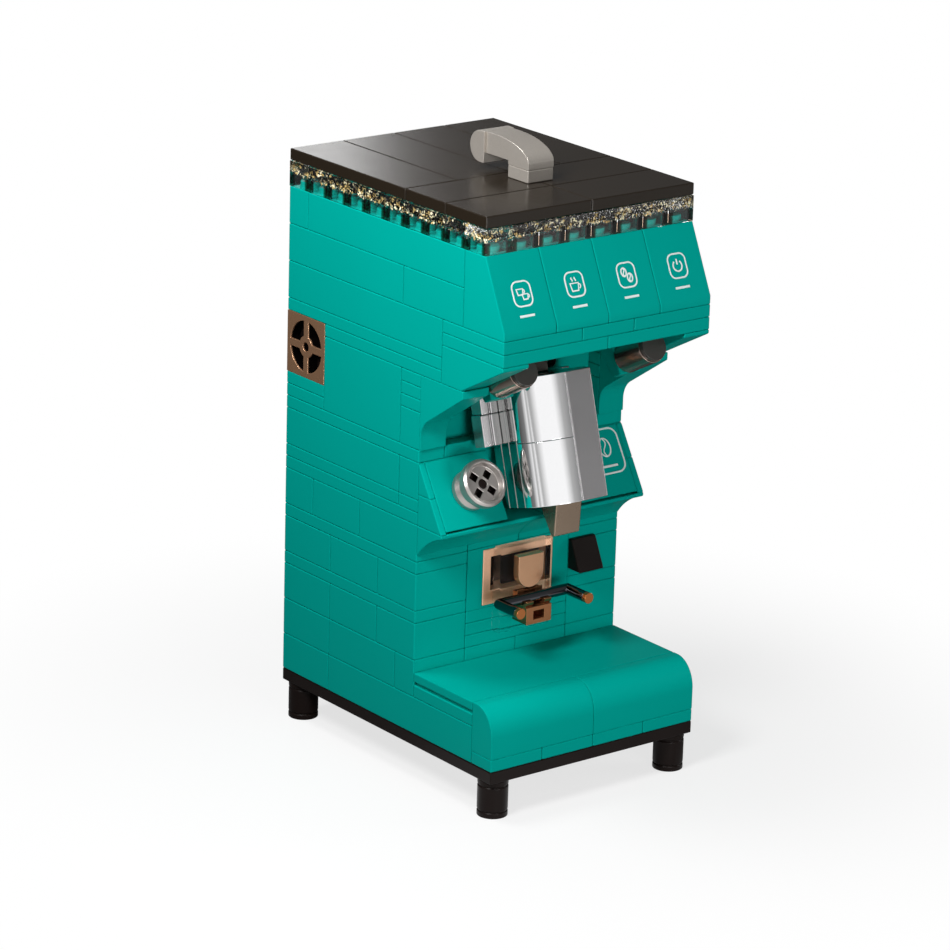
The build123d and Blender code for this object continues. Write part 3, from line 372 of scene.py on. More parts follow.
def make_clear(name, bend, strength):
    """Clear plastic with faint haze; its relief still wants a height."""
    material, tree, shader = new_material(name)
    shader.inputs["Base Color"].default_value = CLEAR
    shader.inputs["Transmission Weight"].default_value = 1.0
    shader.inputs["IOR"].default_value = bend
    place = object_place(tree)
    haze = remap(tree, noise(tree, place, HAZE_SCALE), HAZE_LOW, HAZE_HIGH)
    tree.links.new(haze, shader.inputs["Roughness"])
    return material, tree, place, add_relief(tree, shader, strength, CLEAR_RELIEF)


def make_clear_plate():
    """Clear plastic with a faint ripple."""
    material, tree, place, height = make_clear("clear_plate", PLATE_BEND, PLATE_RIPPLE)
    tree.links.new(noise(tree, place, RIPPLE_SCALE), height)
    return material


def stud_gap_shade(tree, x, y):
    """Where the painted shade goes: 1 between two studs and 0 in front of one, along the face that is
    shaded.
    """
    half = PITCH / 2
    along_x = maths(tree, "PINGPONG", x, half)
    along_y = maths(tree, "PINGPONG", maths(tree, "ADD", y, half), half)
    normal_x, _, _ = split(tree, tree.nodes.new("ShaderNodeNewGeometry").outputs["True Normal"])
    sideways = maths(tree, "GREATER_THAN", maths(tree, "ABSOLUTE", normal_x), 0.5)
    step = maths(tree, "SUBTRACT", along_y, along_x)
    distance = maths(tree, "ADD", along_x, maths(tree, "MULTIPLY", sideways, step))
    return remap(tree, distance, 0.0, 1.0, GAP_BEGINS, GAP_FULL)


def make_clear_brick():
    """Crystal facets in the upper half, and painted shade, brown, in bars between the studs below."""
    material, tree, place, height = make_clear("clear_brick", BRICK_BEND, BRICK_FACETS)
    x, y, z = split(tree, place)
    upper = remap(tree, z, 0.0, 1.0, FACETS_BEGIN, FACETS_FULL)
    facets = cells(tree, place, FACET_SCALE)["Distance"]
    tree.links.new(maths(tree, "MULTIPLY", facets, upper), height)
    # Painted shade between the studs, in the lower half only
    gap_shade = maths(tree, "MULTIPLY", stud_gap_shade(tree, x, y), maths(tree, "SUBTRACT", 1.0, upper))
    shade_tint = blend(tree, gap_shade, CLEAR, GAP_SHADE_BROWN)
    tree.links.new(shade_tint, tree.nodes["Principled BSDF"].inputs["Base Color"])
    return material


def make_painted_reflection_chips():
    """Chips of painted reflection: each a flat tone of its own, from dark to cream."""
    material, tree, shader = new_material("foil_chips")
    shader.inputs["Roughness"].default_value = CHIP_ROUGHNESS
    tone = ramp(tree, cell_value(tree, object_place(tree), CHIP_SCALE), CHIP_TONES)
    tone.node.color_ramp.interpolation = "CONSTANT"
    tree.links.new(tone, shader.inputs["Base Color"])
    return material


# Finish of each material slot, and of the nodes that differ from their slot
FINISH = {
    "teal": moulded("teal_brick", TEAL, 0.26, 0.34, shine=0.02),
    "black": moulded("black_brick", BLACK, 0.26, 0.38, shine=0.1),
    "lid_dark": moulded("lid_tile", LID_BROWN, 0.22, 0.26, shine=0.32, bump=0.004),
    "pearl_silver": metallic("handle_silver", HANDLE_SILVER, 0.26, 0.32, 0.04, 0.55, bump=0.006),
    "dark_grey": moulded("dark_grey", DARK_GREY, 0.2, 0.3, shine=0.4),
    "chrome": metallic("plated_chrome", CHROME, 0.05, 0.08, 0.01, 1.0, bump=0.004),
    "flat_silver": metallic("flat_silver", FLAT_SILVER, 0.24, 0.28, 0.012, 0.85, bump=0.003),
    "copper": metallic("copper_plastic", COPPER, 0.2, 0.3, 0.06, 0.75),
    "tan": metallic("tan_metallic", TAN, 0.22, 0.32, 0.05, 0.75),
    "clear": make_clear_brick(),
    "chips": make_painted_reflection_chips(),
    "bean_brown": moulded("bean_brown", BEAN, 0.2, 0.34, drift=0.12, shine=0.5),
}
NODE_FINISH = {
    "clear_plate": make_clear_plate(),
    "vent_frame": make_vent(),
    "dial_wheel": make_dial(),
    "dial_pin": FINISH["black"],
    # Frame: copper lightened, painted light against the shade of the nose above it
    "copper_frame": metallic("lit_frame_copper", LIT_FRAME_COPPER, 0.28, 0.36, 0.05, 0.5),
    # Front tile: flat silver darkened, a painted dark reflection
    "chute_front_tile": metallic("tile_painted_dark_silver", TILE_PAINTED_DARK_SILVER, 0.24, 0.28, 0.012, 0.8, bump=0.003),
    # Chute layers: chrome darkened, painted shade behind the chute
    "chute_layers": metallic("shaded_layer_chrome", SHADED_LAYER_CHROME, 0.05, 0.08, 0.01, 1.0, bump=0.004),
    # Fork bar: chrome darkened, a painted dark reflection
    "fork_bar": metallic("fork_painted_dark_chrome", FORK_PAINTED_DARK_CHROME, 0.06, 0.1, 0.02, 1.0, bump=0.004),
    "fork_clip": metallic("clip_copper", CLIP_COPPER, 0.16, 0.24, 0.05, 0.85),
    "fork_tips": metallic("tip_copper", TIP_COPPER, 0.16, 0.24, 0.05, 0.85),
    "lamp_bodies": metallic("lamp_chrome", LAMP_CHROME, 0.16, 0.2, 0.02, 0.9, bump=0.004),
    "lamp_brackets": FINISH["teal"],
}
PRINT = moulded("pad_print", PRINT_WHITE, 0.35, 0.5, drift=0.02)


# Bricks: each CAD node is copied, brick by brick, and gets the small rounded edges of a moulding

SHORT_EDGE = 0.12 * MM
FLAT_ANGLE = math.radians(0.4)
SHARP_ANGLE = math.radians(28)
EDGE = 0.3 * MM
EDGE_OF = {
    "chute_fronts": 0.12 * MM,
    "chute_layers": 0.25 * MM,
    "corbels": 0.16 * MM,
    "dial_wheel": 0.12 * MM,
    "dispense_button": 0.14 * MM,
    "feet": 0.14 * MM,
    "copper_frame": 0.2 * MM,
    "fork_bar": 0.1 * MM,
    "fork_clip": 0.12 * MM,
    "fork_tips": 0.08 * MM,
    "frame_surround": 0.12 * MM,
    "handle_arch": 0.14 * MM,
    "handle_grip": 0.14 * MM,
    "lamp_bodies": 0.12 * MM,
    "lamp_faces": 0.1 * MM,
    "tray_front_curves": 0.2 * MM,
    "vent_frame": 0.12 * MM,
}
MADE_ANEW = {"clear_rails", "coffee_beans"}


def brick_shells(node):
    """Triangles of each brick in a node: a brick is complete where its surface closes."""
    mesh = frame["nodes"][node].data
    shells, shell, loose = [], [], set()
    for face in mesh.polygons:
        corners = [tuple(round(c, 7) for c in mesh.vertices[i].co) for i in face.vertices]
        shell.append(corners)
        for first, second in zip(corners, corners[1:] + corners[:1]):
            if (second, first) in loose:
                loose.remove((second, first))
            else:
                loose.add((first, second))
        if not loose:
            shells.append(shell)
            shell = []
    if shell:
        shells.append(shell)
    return shells


def mesh_of(form, name):
    """A mesh from a bmesh form, which is freed."""
    mesh = bpy.data.meshes.new(name)
    form.to_mesh(mesh)
    form.free()
    return mesh


def brick_mesh(node):
    """The node's bricks with merged corners and whole flat faces."""
    whole = bmesh.new()
    for shell in brick_shells(node):
        form = bmesh.new()
        corners = {}
        for triangle in shell:
            for point in triangle:
                if point not in corners:
                    corners[point] = form.verts.new(point)
            if len(set(triangle)) == len(triangle):
                form.faces.new([corners[point] for point in triangle])
        bmesh.ops.remove_doubles(form, verts=form.verts[:], dist=SHORT_EDGE)
        bmesh.ops.dissolve_limit(
            form, angle_limit=FLAT_ANGLE, verts=form.verts[:], edges=form.edges[:], delimit=set()
        )
        for face in form.faces:
            face.smooth = True
        brick = mesh_of(form, "brick")
        whole.from_mesh(brick)
        bpy.data.meshes.remove(brick)
    return mesh_of(whole, node + "_moulded")


def link(name, mesh, material=None):
    """A new object at the origin."""
    piece = bpy.data.objects.new(name, mesh)
    SCENE.collection.objects.link(piece)
    if material is not None:
        piece.data.materials.clear()
        piece.data.materials.append(material)
    return piece


def evaluated_mesh(piece):
    """A plain mesh of what a piece looks like with its modifiers."""
    bpy.context.view_layer.update()
    graph = bpy.context.evaluated_depsgraph_get()
    shown = piece.evaluated_get(graph)
    return bpy.data.meshes.new_from_object(shown, preserve_all_data_layers=True, depsgraph=graph)


def settled(piece):
    """The piece's modifiers turned into plain mesh."""
    mesh = evaluated_mesh(piece)
    piece.modifiers.clear()
    piece.data = mesh
    return piece


def soften(piece, edge):
    """Rounds every sharp edge of a piece."""
    bevel = piece.modifiers.new("rounded_edges", "BEVEL")
    bevel.width = edge
    bevel.use_clamp_overlap = False
    bevel.segments = 2
    bevel.limit_method = "ANGLE"
    bevel.angle_limit = SHARP_ANGLE
    bevel.harden_normals = True
    settled(piece)


def let_light_through(piece):
    """Clear pieces cast no shadow and hide in the mirrors behind them."""
    piece.visible_shadow = False
    piece.visible_diffuse = False
    piece.visible_glossy = False


def stand_for(piece, node):
    """The piece rides where its CAD node does and takes its place."""
    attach(piece, BODY_OF[node])
    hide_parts(node)


def finish_node(node):
    """Makes the moulded copy that stands for a CAD node."""
    slot = SLOT_OF[node]
    piece = link(node + "_moulded", brick_mesh(node), NODE_FINISH.get(node, FINISH[slot]))
    soften(piece, EDGE_OF.get(node, EDGE))
    if slot == "clear":
        let_light_through(piece)
    stand_for(piece, node)


for node_name in sorted(frame["nodes"]):
    if node_name not in MADE_ANEW:
        finish_node(node_name)


# Hopper: a ring of clear bricks over the rim's studs, chips of painted reflection in it, and beans on
# the floor

BRICK_PLAY = 0.1 * MM
CLEAR_WALL, CLEAR_ROOF = 1.3 * MM, 2.6 * MM
RING_SLACK = 1 * MM
CHIP_SIZE, CHIP_INSET, CHIP_BAND = 1.1 * MM, 0.7 * MM, 3.1 * MM
CHIP_STREW = {"Density": 6e6, "Spacing": 0.42 * MM, "Tilt": math.pi, "Smallest": 0.55}
BEAN_SIZE = (4.6 * MM, 3.4 * MM, 2.6 * MM)
BEAN_MARGIN, BEAN_LIFT = 1.25 * MM, 1.2 * MM
CREASE_DEPTH, CREASE_WIDTH, CREASE_FROM, BEAN_FLAT = 0.28, 0.09, 0.1, -0.32
STOP_GAP = 0.5 * MM


def new_tree(name, inputs):
    """An empty geometry tree with named inputs and one geometry output."""
    tree = bpy.data.node_groups.new(name, "GeometryNodeTree")
    for title, kind, value in inputs:
        socket = tree.interface.new_socket(title, in_out="INPUT", socket_type=kind)
        if value is not None:
            socket.default_value = value
    tree.interface.new_socket("Geometry", in_out="OUTPUT", socket_type="NodeSocketGeometry")
    return tree, tree.nodes.new("NodeGroupInput").outputs, tree.nodes.new("NodeGroupOutput").inputs


def shape_of(tree, socket):
    """Geometry of the object that a socket names."""
    info = tree.nodes.new("GeometryNodeObjectInfo")
    tree.links.new(socket, info.inputs["Object"])
    return info.outputs["Geometry"]


def copy_onto(tree, points, shape):
    """Copies of a shape on points."""
    copies = tree.nodes.new("GeometryNodeInstanceOnPoints")
    tree.links.new(points, copies.inputs["Points"])
    tree.links.new(shape, copies.inputs["Instance"])
    return copies


def make_real(tree, copies, finish, result):
    """Ends a tree: the copies become plain geometry in their material."""
    real = tree.nodes.new("GeometryNodeRealizeInstances")
    tree.links.new(copies.outputs["Instances"], real.inputs["Geometry"])
    dressed = tree.nodes.new("GeometryNodeSetMaterial")
    tree.links.new(real.outputs["Geometry"], dressed.inputs["Geometry"])
    tree.links.new(finish, dressed.inputs["Material"])
    tree.links.new(dressed.outputs["Geometry"], result)


def make_ring_tree():
    """Copies of one brick on the outer cells of a grid."""
    inputs = (
        ("Brick", "NodeSocketObject", None),
        ("Columns", "NodeSocketInt", 8),
        ("Rows", "NodeSocketInt", 10),
        ("Pitch", "NodeSocketFloat", PITCH),
        ("Centre", "NodeSocketVector", (0, 0, 0)),
        ("Finish", "NodeSocketMaterial", None),
    )
    tree, given, made = new_tree("brick_ring", inputs)
    nodes, links = tree.nodes, tree.links
    grid = nodes.new("GeometryNodeMeshGrid")
    x, y, _ = split(tree, nodes.new("GeometryNodeInputPosition").outputs["Position"])
    inside = []
    for axis, along, count in (("X", x, given["Columns"]), ("Y", y, given["Rows"])):
        span = maths(tree, "MULTIPLY", maths(tree, "SUBTRACT", count, 1.0), given["Pitch"])
        links.new(span, grid.inputs["Size " + axis])
        links.new(count, grid.inputs["Vertices " + axis])
        edge = maths(tree, "SUBTRACT", maths(tree, "MULTIPLY", span, 0.5), RING_SLACK)
        inside.append(maths(tree, "LESS_THAN", maths(tree, "ABSOLUTE", along), edge))
    ring = nodes.new("GeometryNodeDeleteGeometry")
    links.new(grid.outputs["Mesh"], ring.inputs["Geometry"])
    links.new(maths(tree, "MULTIPLY", *inside), ring.inputs["Selection"])
    moved = nodes.new("GeometryNodeTransform")
    links.new(ring.outputs["Geometry"], moved.inputs["Geometry"])
    links.new(given["Centre"], moved.inputs["Translation"])
    copies = copy_onto(tree, moved.outputs["Geometry"], shape_of(tree, given["Brick"]))
    make_real(tree, copies, given["Finish"], made["Geometry"])
    return tree


def make_strew_tree():
    """Copies of a piece strewn over a ground, turned and sized at random with a fixed seed."""
    inputs = (
        ("Piece", "NodeSocketObject", None),
        ("Ground", "NodeSocketObject", None),
        ("Density", "NodeSocketFloat", 140000.0),
        ("Spacing", "NodeSocketFloat", 2.9 * MM),
        ("Tilt", "NodeSocketFloat", 0.25),
        ("Smallest", "NodeSocketFloat", 1.0),
        ("Seed", "NodeSocketInt", 7),
        ("Finish", "NodeSocketMaterial", None),
    )
    tree, given, made = new_tree("strewn_pieces", inputs)
    nodes, links = tree.nodes, tree.links
    strewn = nodes.new("GeometryNodeDistributePointsOnFaces")
    strewn.distribute_method = "POISSON"
    links.new(shape_of(tree, given["Ground"]), strewn.inputs["Mesh"])
    links.new(given["Density"], strewn.inputs["Density Max"])
    links.new(given["Spacing"], strewn.inputs["Distance Min"])
    lean = nodes.new("ShaderNodeCombineXYZ")
    links.new(given["Tilt"], lean.inputs["X"])
    links.new(given["Tilt"], lean.inputs["Y"])
    lean.inputs["Z"].default_value = math.pi
    most = lean.outputs["Vector"]
    turn = nodes.new("FunctionNodeRandomValue")
    turn.data_type = "FLOAT_VECTOR"
    links.new(vectors(tree, "MULTIPLY", most, (-1, -1, -1)), turn.inputs["Min"])
    links.new(most, turn.inputs["Max"])
    size = nodes.new("FunctionNodeRandomValue")
    size_range = {socket.name: socket for socket in size.inputs if socket.enabled}
    links.new(given["Smallest"], size_range["Min"])
    size_range["Max"].default_value = 1.0
    for node in (strewn, turn, size):
        links.new(given["Seed"], node.inputs["Seed"])
    copies = copy_onto(tree, strewn.outputs["Points"], shape_of(tree, given["Piece"]))
    links.new(turn.outputs["Value"], copies.inputs["Rotation"])
    links.new(next(socket for socket in size.outputs if socket.enabled), copies.inputs["Scale"])
    make_real(tree, copies, given["Finish"], made["Geometry"])
    return tree


def set_inputs(modifier, values):
    """Sets a tree's inputs by their sockets' identifiers."""
    for item in modifier.node_group.interface.items_tree:
        if item.item_type == "SOCKET" and item.in_out == "INPUT" and item.name in values:
            modifier[item.identifier] = values[item.name]


def grow(name, tree, values):
    """Runs a geometry tree on an empty mesh and keeps the plain result."""
    piece = link(name, bpy.data.meshes.new(name))
    modifier = piece.modifiers.new("layout", "NODES")
    modifier.node_group = tree
    set_inputs(modifier, values)
    return settled(piece)


def strew(name, tree, piece_mesh, ground_mesh, values):
    """Strews a piece over a ground and clears away both forms."""
    piece, ground = link(name + "_form", piece_mesh), link(name + "_ground", ground_mesh)
    result = grow(name, tree, {"Piece": piece, "Ground": ground, **values})
    bpy.data.objects.remove(piece)
    bpy.data.objects.remove(ground)
    return result


def plain_mesh(name, corners, faces=((0, 1, 2, 3),)):
    """A mesh from its corners; a single four-sided sheet unless faces are given."""
    mesh = bpy.data.meshes.new(name)
    mesh.from_pydata(corners, [], faces)
    return mesh


def clear_brick_mesh(size, height):
    """One clear brick: a box with a hollow below."""
    form = bmesh.new()
    bmesh.ops.create_cube(form, size=1.0, matrix=Matrix.Diagonal((size, size, height, 1)))
    bmesh.ops.translate(form, verts=form.verts, vec=(0, 0, height / 2))
    under = min(form.faces, key=lambda face: face.calc_center_median().z)
    bmesh.ops.inset_individual(form, faces=[under], thickness=CLEAR_WALL)
    moved = bmesh.ops.extrude_discrete_faces(form, faces=[under])["faces"][0]
    bmesh.ops.translate(form, verts=moved.verts[:], vec=(0, 0, height - CLEAR_ROOF))
    bmesh.ops.recalc_face_normals(form, faces=form.faces[:])
    return mesh_of(form, "clear_brick_form")


def chip_mesh(size):
    """One chip: a flat four-sided flake."""
    long, short, thin = size / 2, size * 0.4, size / 10
    corners = ((long, 0, 0), (0, short, 0), (-long, 0, 0), (0, -short, 0), (0, 0, thin), (0, 0, -thin))
    faces = [(i, (i + 1) % 4, 4) for i in range(4)] + [((i + 1) % 4, i, 5) for i in range(4)]
    return plain_mesh("chip_form", corners, faces)


def band_mesh(low, high, bottom, top):
    """Four upright strips around a box, between two heights."""
    ring = ((low[0], low[1]), (high[0], low[1]), (high[0], high[1]), (low[0], high[1]))
    corners = [(x, y, z) for z in (bottom, top) for x, y in ring]
    faces = [(i, (i + 1) % 4, 4 + (i + 1) % 4, 4 + i) for i in range(4)]
    return plain_mesh("chip_ground", corners, faces)


def bean_mesh(size):
    """One bean: a rounded form with a crease along its upper side."""
    form = bmesh.new()
    bmesh.ops.create_uvsphere(form, u_segments=12, v_segments=8, radius=0.5)
    for vert in form.verts:
        crease = CREASE_DEPTH * math.exp(-((vert.co.y / CREASE_WIDTH) ** 2))
        groove = crease if vert.co.z > CREASE_FROM else 0.0
        vert.co.z = max(vert.co.z, BEAN_FLAT) * (1 - groove)
    bmesh.ops.transform(form, matrix=Matrix.Diagonal((*size, 1)), verts=form.verts)
    for face in form.faces:
        face.smooth = True
    return mesh_of(form, "bean_form")


def make_clear_ring():
    """The ring of clear bricks in place of the CAD rails."""
    low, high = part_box("clear_rails")
    form = link("clear_brick_form", clear_brick_mesh(PITCH - BRICK_PLAY, high[2] - low[2]))
    values = {
        "Brick": form,
        "Columns": round((high[0] - low[0]) / PITCH),
        "Rows": round((high[1] - low[1]) / PITCH),
        "Pitch": PITCH,
        "Centre": ((low[0] + high[0]) / 2, (low[1] + high[1]) / 2, low[2]),
        "Finish": FINISH["clear"],
    }
    ring = grow("clear_brick_ring", make_ring_tree(), values)
    bpy.data.objects.remove(form)
    let_light_through(ring)
    stand_for(ring, "clear_rails")


def make_chip_band(tree):
    """Chips of painted reflection in the upper half of the clear bricks."""
    low, high = (Vector(corner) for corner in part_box("clear_rails"))
    inset = Vector((CHIP_INSET, CHIP_INSET, 0))
    band = band_mesh(low + inset, high - inset, high.z - CHIP_BAND, high.z - CHIP_SIZE / 2)
    values = {**CHIP_STREW, "Finish": FINISH["chips"]}
    chips = strew("foil_chips", tree, chip_mesh(CHIP_SIZE), band, values)
    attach(chips, BODY_OF["clear_rails"])


def make_beans(tree):
    """Beans strewn where the CAD beans lie."""
    low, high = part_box("coffee_beans")
    left, right = low[0] + BEAN_MARGIN, high[0] - BEAN_MARGIN
    front, back = low[1] + BEAN_MARGIN, high[1] - BEAN_MARGIN
    floor = low[2] + BEAN_LIFT
    corners = ((left, front, floor), (right, front, floor), (right, back, floor), (left, back, floor))
    values = {"Finish": FINISH["bean_brown"]}
    beans = strew("strewn_beans", tree, bean_mesh(BEAN_SIZE), plain_mesh("bean_ground", corners), values)
    stand_for(beans, "coffee_beans")


def make_light_stop():
    """A dark sheet inside the rear wall, so that no light shows through its joints."""
    low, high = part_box("rear_wall_lower")
    bottom, top = low[2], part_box("hopper_floor")[0][2]
    left, right, y = low[0] + PITCH, high[0] - PITCH, low[1] - STOP_GAP
    corners = ((left, y, bottom), (right, y, bottom), (right, y, top), (left, y, top))
    sheet = link("light_stop", plain_mesh("light_stop", corners), FINISH["black"])
    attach(sheet, BODY_OF["rear_wall_lower"])


make_clear_ring()
strew_tree = make_strew_tree()
make_chip_band(strew_tree)
make_beans(strew_tree)
make_light_stop()


# Pad prints: flat strokes on the sloping faces; the pictures are drawn in units of their size

STROKE = 0.42 * MM
THIN_STROKE = 0.8 * STROKE
FILM = 0.05 * MM
CUP = [(-1.0, 0.7), (-0.75, -0.8), (0.75, -0.8), (1.0, 0.7)]
ICON_WIDE, ICON_TALL, ICON_CORNER = 5.4 * MM, 6.0 * MM, 1.6 * MM
BAR_DROP, BAR_LONG, BAR_THICK = 5.4 * MM, 4.4 * MM, 0.6 * MM
CREST_Y, CREST_Z, FOOT_Z = -36 * MM, 140.8 * MM, 123.8 * MM
ICON_RISE, EMBLEM_RISE = 0.46, 0.64
EMBLEM_X, EMBLEM_WIDE, EMBLEM_TALL, EMBLEM_CORNER = 24.3 * MM, 9.6 * MM, 11.5 * MM, 2.4 * MM
EMBLEM_STROKE, EMBLEM_BAR_DROP, EMBLEM_BAR_LONG = 1.2 * STROKE, 3.9 * MM, 4.8 * MM
EMBLEM_BEAN, EMBLEM_BEAN_Y = 2.2 * MM, 1.0 * MM


def rounded_square(wide, tall, radius, steps=6):
    """Closed outline of a square with round corners, centred."""
    points = []
    corners = ((1, 1, 0), (-1, 1, 90), (-1, -1, 180), (1, -1, 270))
    for side, rise, begin in corners:
        for step in range(steps + 1):
            angle = math.radians(begin + 90 * step / steps)
            x = side * (wide / 2 - radius) + radius * math.cos(angle)
            y = rise * (tall / 2 - radius) + radius * math.sin(angle)
            points.append((x, y))
    return points


def arc(x, y, radius, begin, sweep, steps, stretch=1.0):
    """Points along a round or oval arc."""
    points = []
    for step in range(steps + 1):
        angle = math.radians(begin + sweep * step / steps)
        points.append((x + radius * math.cos(angle), y + stretch * radius * math.sin(angle)))
    return points


def scaled(points, size, x=0.0, y=0.0):
    """Points enlarged and moved."""
    return [(x + size * px, y + size * py) for px, py in points]


def bar(length, drop):
    """A plain level bar below the middle."""
    return ([(-length / 2, -drop), (length / 2, -drop)], False, BAR_THICK)


def cup_strokes(size, x, y):
    """A cup seen from the side, with its ear."""
    ear = arc(0.95, 0.05, 0.45, 80, -160, 10)
    return [(scaled(CUP, size, x, y), True, STROKE), (scaled(ear, size, x, y), False, THIN_STROKE)]


def bean_strokes(size, x, y):
    """A bean: an oval with a wavy crease."""
    oval = arc(0, 0, 0.8, 0, 360 - 18, 19, 1.35)
    crease = [(0.25 * math.sin(step * math.pi / 4), 1.0 - step * 0.25) for step in range(9)]
    return [(scaled(oval, size, x, y), True, STROKE), (scaled(crease, size, x, y), False, THIN_STROKE)]


def steam_strokes(size, x, y):
    """Two wavy lines that rise."""
    lines = []
    for shift in (-0.45, 0.45):
        wave = [(shift + 0.14 * math.sin(step * math.pi / 2), step * 0.22) for step in range(5)]
        lines.append((scaled(wave, size, x, y), False, THIN_STROKE))
    return lines


def power_strokes(size):
    """An open ring with an upright line in its gap."""
    ring = arc(0, 0, 1.0, 90 + 38, 360 - 76, 24)
    return [(scaled(ring, size), False, STROKE), (scaled([(0, 0.2), (0, 1.25)], size), False, STROKE)]


def icon(inner):
    """A rounded frame with its picture inside, and a plain bar below."""
    border = (rounded_square(ICON_WIDE, ICON_TALL, ICON_CORNER), True, STROKE)
    return [border, bar(BAR_LONG, BAR_DROP)] + inner


def strokes_mesh(name, strokes, place):
    """Lines of the given width, pressed flat and laid on a plane of the object."""
    curve = bpy.data.curves.new(name, "CURVE")
    curve.dimensions = "3D"
    curve.bevel_resolution = 2
    curve.bevel_depth = 1.0
    curve.use_fill_caps = True
    for points, closed, width in strokes:
        spline = curve.splines.new("POLY")
        spline.points.add(len(points) - 1)
        for target, (x, y) in zip(spline.points, points):
            target.co = (x, y, 0, 1)
            target.radius = width / 2
        spline.use_cyclic_u = closed
    holder = link(name + "_lines", curve)
    mesh = evaluated_mesh(holder)
    bpy.data.objects.remove(holder)
    mesh.transform(place @ Matrix.Diagonal((1, 1, FILM / STROKE, 1)))
    return mesh


def print_on(name, strokes, place, body):
    """One pad print, riding with what it is printed on."""
    piece = link(name, strokes_mesh(name, strokes, place), PRINT)
    for face in piece.data.polygons:
        face.use_smooth = True
    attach(piece, body)


def plane_at(origin, up):
    """Matrix of a plane: its own X to the right, Y up the face and Z out of it."""
    right, up = Vector((1, 0, 0)), up.normalized()
    turn = Matrix((right, up, right.cross(up))).transposed().to_4x4()
    return Matrix.Translation(origin) @ turn


def make_icons():
    """A picture on each of the four front slopes."""
    low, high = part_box("front_slopes")
    foot = Vector((0, low[1], FOOT_Z))
    up = Vector((0, CREST_Y, CREST_Z)) - foot
    pictures = (
        cup_strokes(0.95 * MM, -0.55 * MM, 0.5 * MM) + cup_strokes(0.85 * MM, 0.75 * MM, -0.75 * MM),
        cup_strokes(1.25 * MM, -0.2 * MM, -0.6 * MM) + steam_strokes(1.1 * MM, -0.2 * MM, 0.75 * MM),
        bean_strokes(0.95 * MM, -0.75 * MM, 0.75 * MM) + bean_strokes(0.95 * MM, 0.8 * MM, -0.75 * MM),
        power_strokes(1.35 * MM),
    )
    for index, picture in enumerate(pictures):
        x = low[0] + (high[0] - low[0]) * (index + 0.5) / len(pictures)
        place = plane_at(foot + up * ICON_RISE + Vector((x, 0, 0)), up)
        print_on("slope_icon_%d" % (index + 1), icon(picture), place, BODY_OF["front_slopes"])


def make_emblem():
    """A plain rounded frame with a bean and a bar, on the right of the nose."""
    low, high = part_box("nose_panels")
    foot, crest = Vector((0, low[1], low[2])), Vector((0, high[1], high[2]))
    up = crest - foot
    border = (rounded_square(EMBLEM_WIDE, EMBLEM_TALL, EMBLEM_CORNER), True, EMBLEM_STROKE)
    emblem = [border, bar(EMBLEM_BAR_LONG, EMBLEM_BAR_DROP)]
    emblem += bean_strokes(EMBLEM_BEAN, 0, EMBLEM_BEAN_Y)
    place = plane_at(foot + up * EMBLEM_RISE + Vector((EMBLEM_X, 0, 0)), up)
    print_on("nose_emblem", emblem, place, BODY_OF["nose_panels"])


make_icons()
make_emblem()


# Studio; the greys are stops of brightness from straight behind (0) to in front on the left (1)

FLOOR_HALF = 12.0
PAPER_BOUNCE, PAPER_SEEN = 0.1, 0.9
FADE_BEGIN, FADE_END, FADE_LOW = 0.05, 0.18, 0.73
WORLD_LIGHT = 0.15
FRONT_LEFT = (-0.45, -0.89, 0.0)
WALL_GREYS = ((0, 0.1), (0.5, 0.2), (0.74, 0.28), (0.87, 0.44), (0.955, 1))
FLOOR_GREYS = (
    (0, 0.02),
    (0.5, 0.06),
    (0.68, 0.2),
    (0.76, 0.85),
    (0.79, 0.4),
    (0.83, 0.9),
    (0.86, 0.6),
    (0.9, 1),
)
MIDDLE, LID_MIDDLE = (0, 0, 0.08), (0, 0, 0.15)
# Name, place, target, size and power of each lamp
LAMPS = (
    ("key", (-0.234, -0.1, 0.29), MIDDLE, (0.1, 0.1), 0.9),
    ("top", (-0.11, 0.063, 0.352), MIDDLE, (0.1, 0.1), 0.45),
    ("front", (-0.05, -0.3, 0.05), MIDDLE, (0.12, 0.08), 0.34),
    ("side_fill", (0.259, -0.149, 0.106), MIDDLE, (0.1, 0.1), 0.14),
    ("lid_sheen", (0.45, 0.83, 0.4), LID_MIDDLE, (0.2, 0.2), 0.45),
)
EYE = (-0.634, -0.805, 0.403)
EYE_YAW, EYE_DOWN, EYE_ROLL = math.radians(38.0), math.radians(17.94), math.radians(-1.65)
SENSOR, LENS, NEAR_CLIP = 36.0, 162.76, 0.01


def seen_rays(tree):
    """One for rays that look at a surface straight, in a mirror or through glass, and none for light."""
    path = tree.nodes.new("ShaderNodeLightPath").outputs
    seen = maths(tree, "MAXIMUM", path["Is Camera Ray"], path["Is Glossy Ray"])
    return maths(tree, "MAXIMUM", seen, path["Is Transmission Ray"]), path


def room_grey(tree, direction, greys):
    """Grey of the room by direction."""
    level = remap(tree, vectors(tree, "DOT_PRODUCT", direction, FRONT_LEFT), 0.0, 1.0, begin=-1.0)
    return ramp(tree, level, [(position, (grey, grey, grey, 1)) for position, grey in greys])


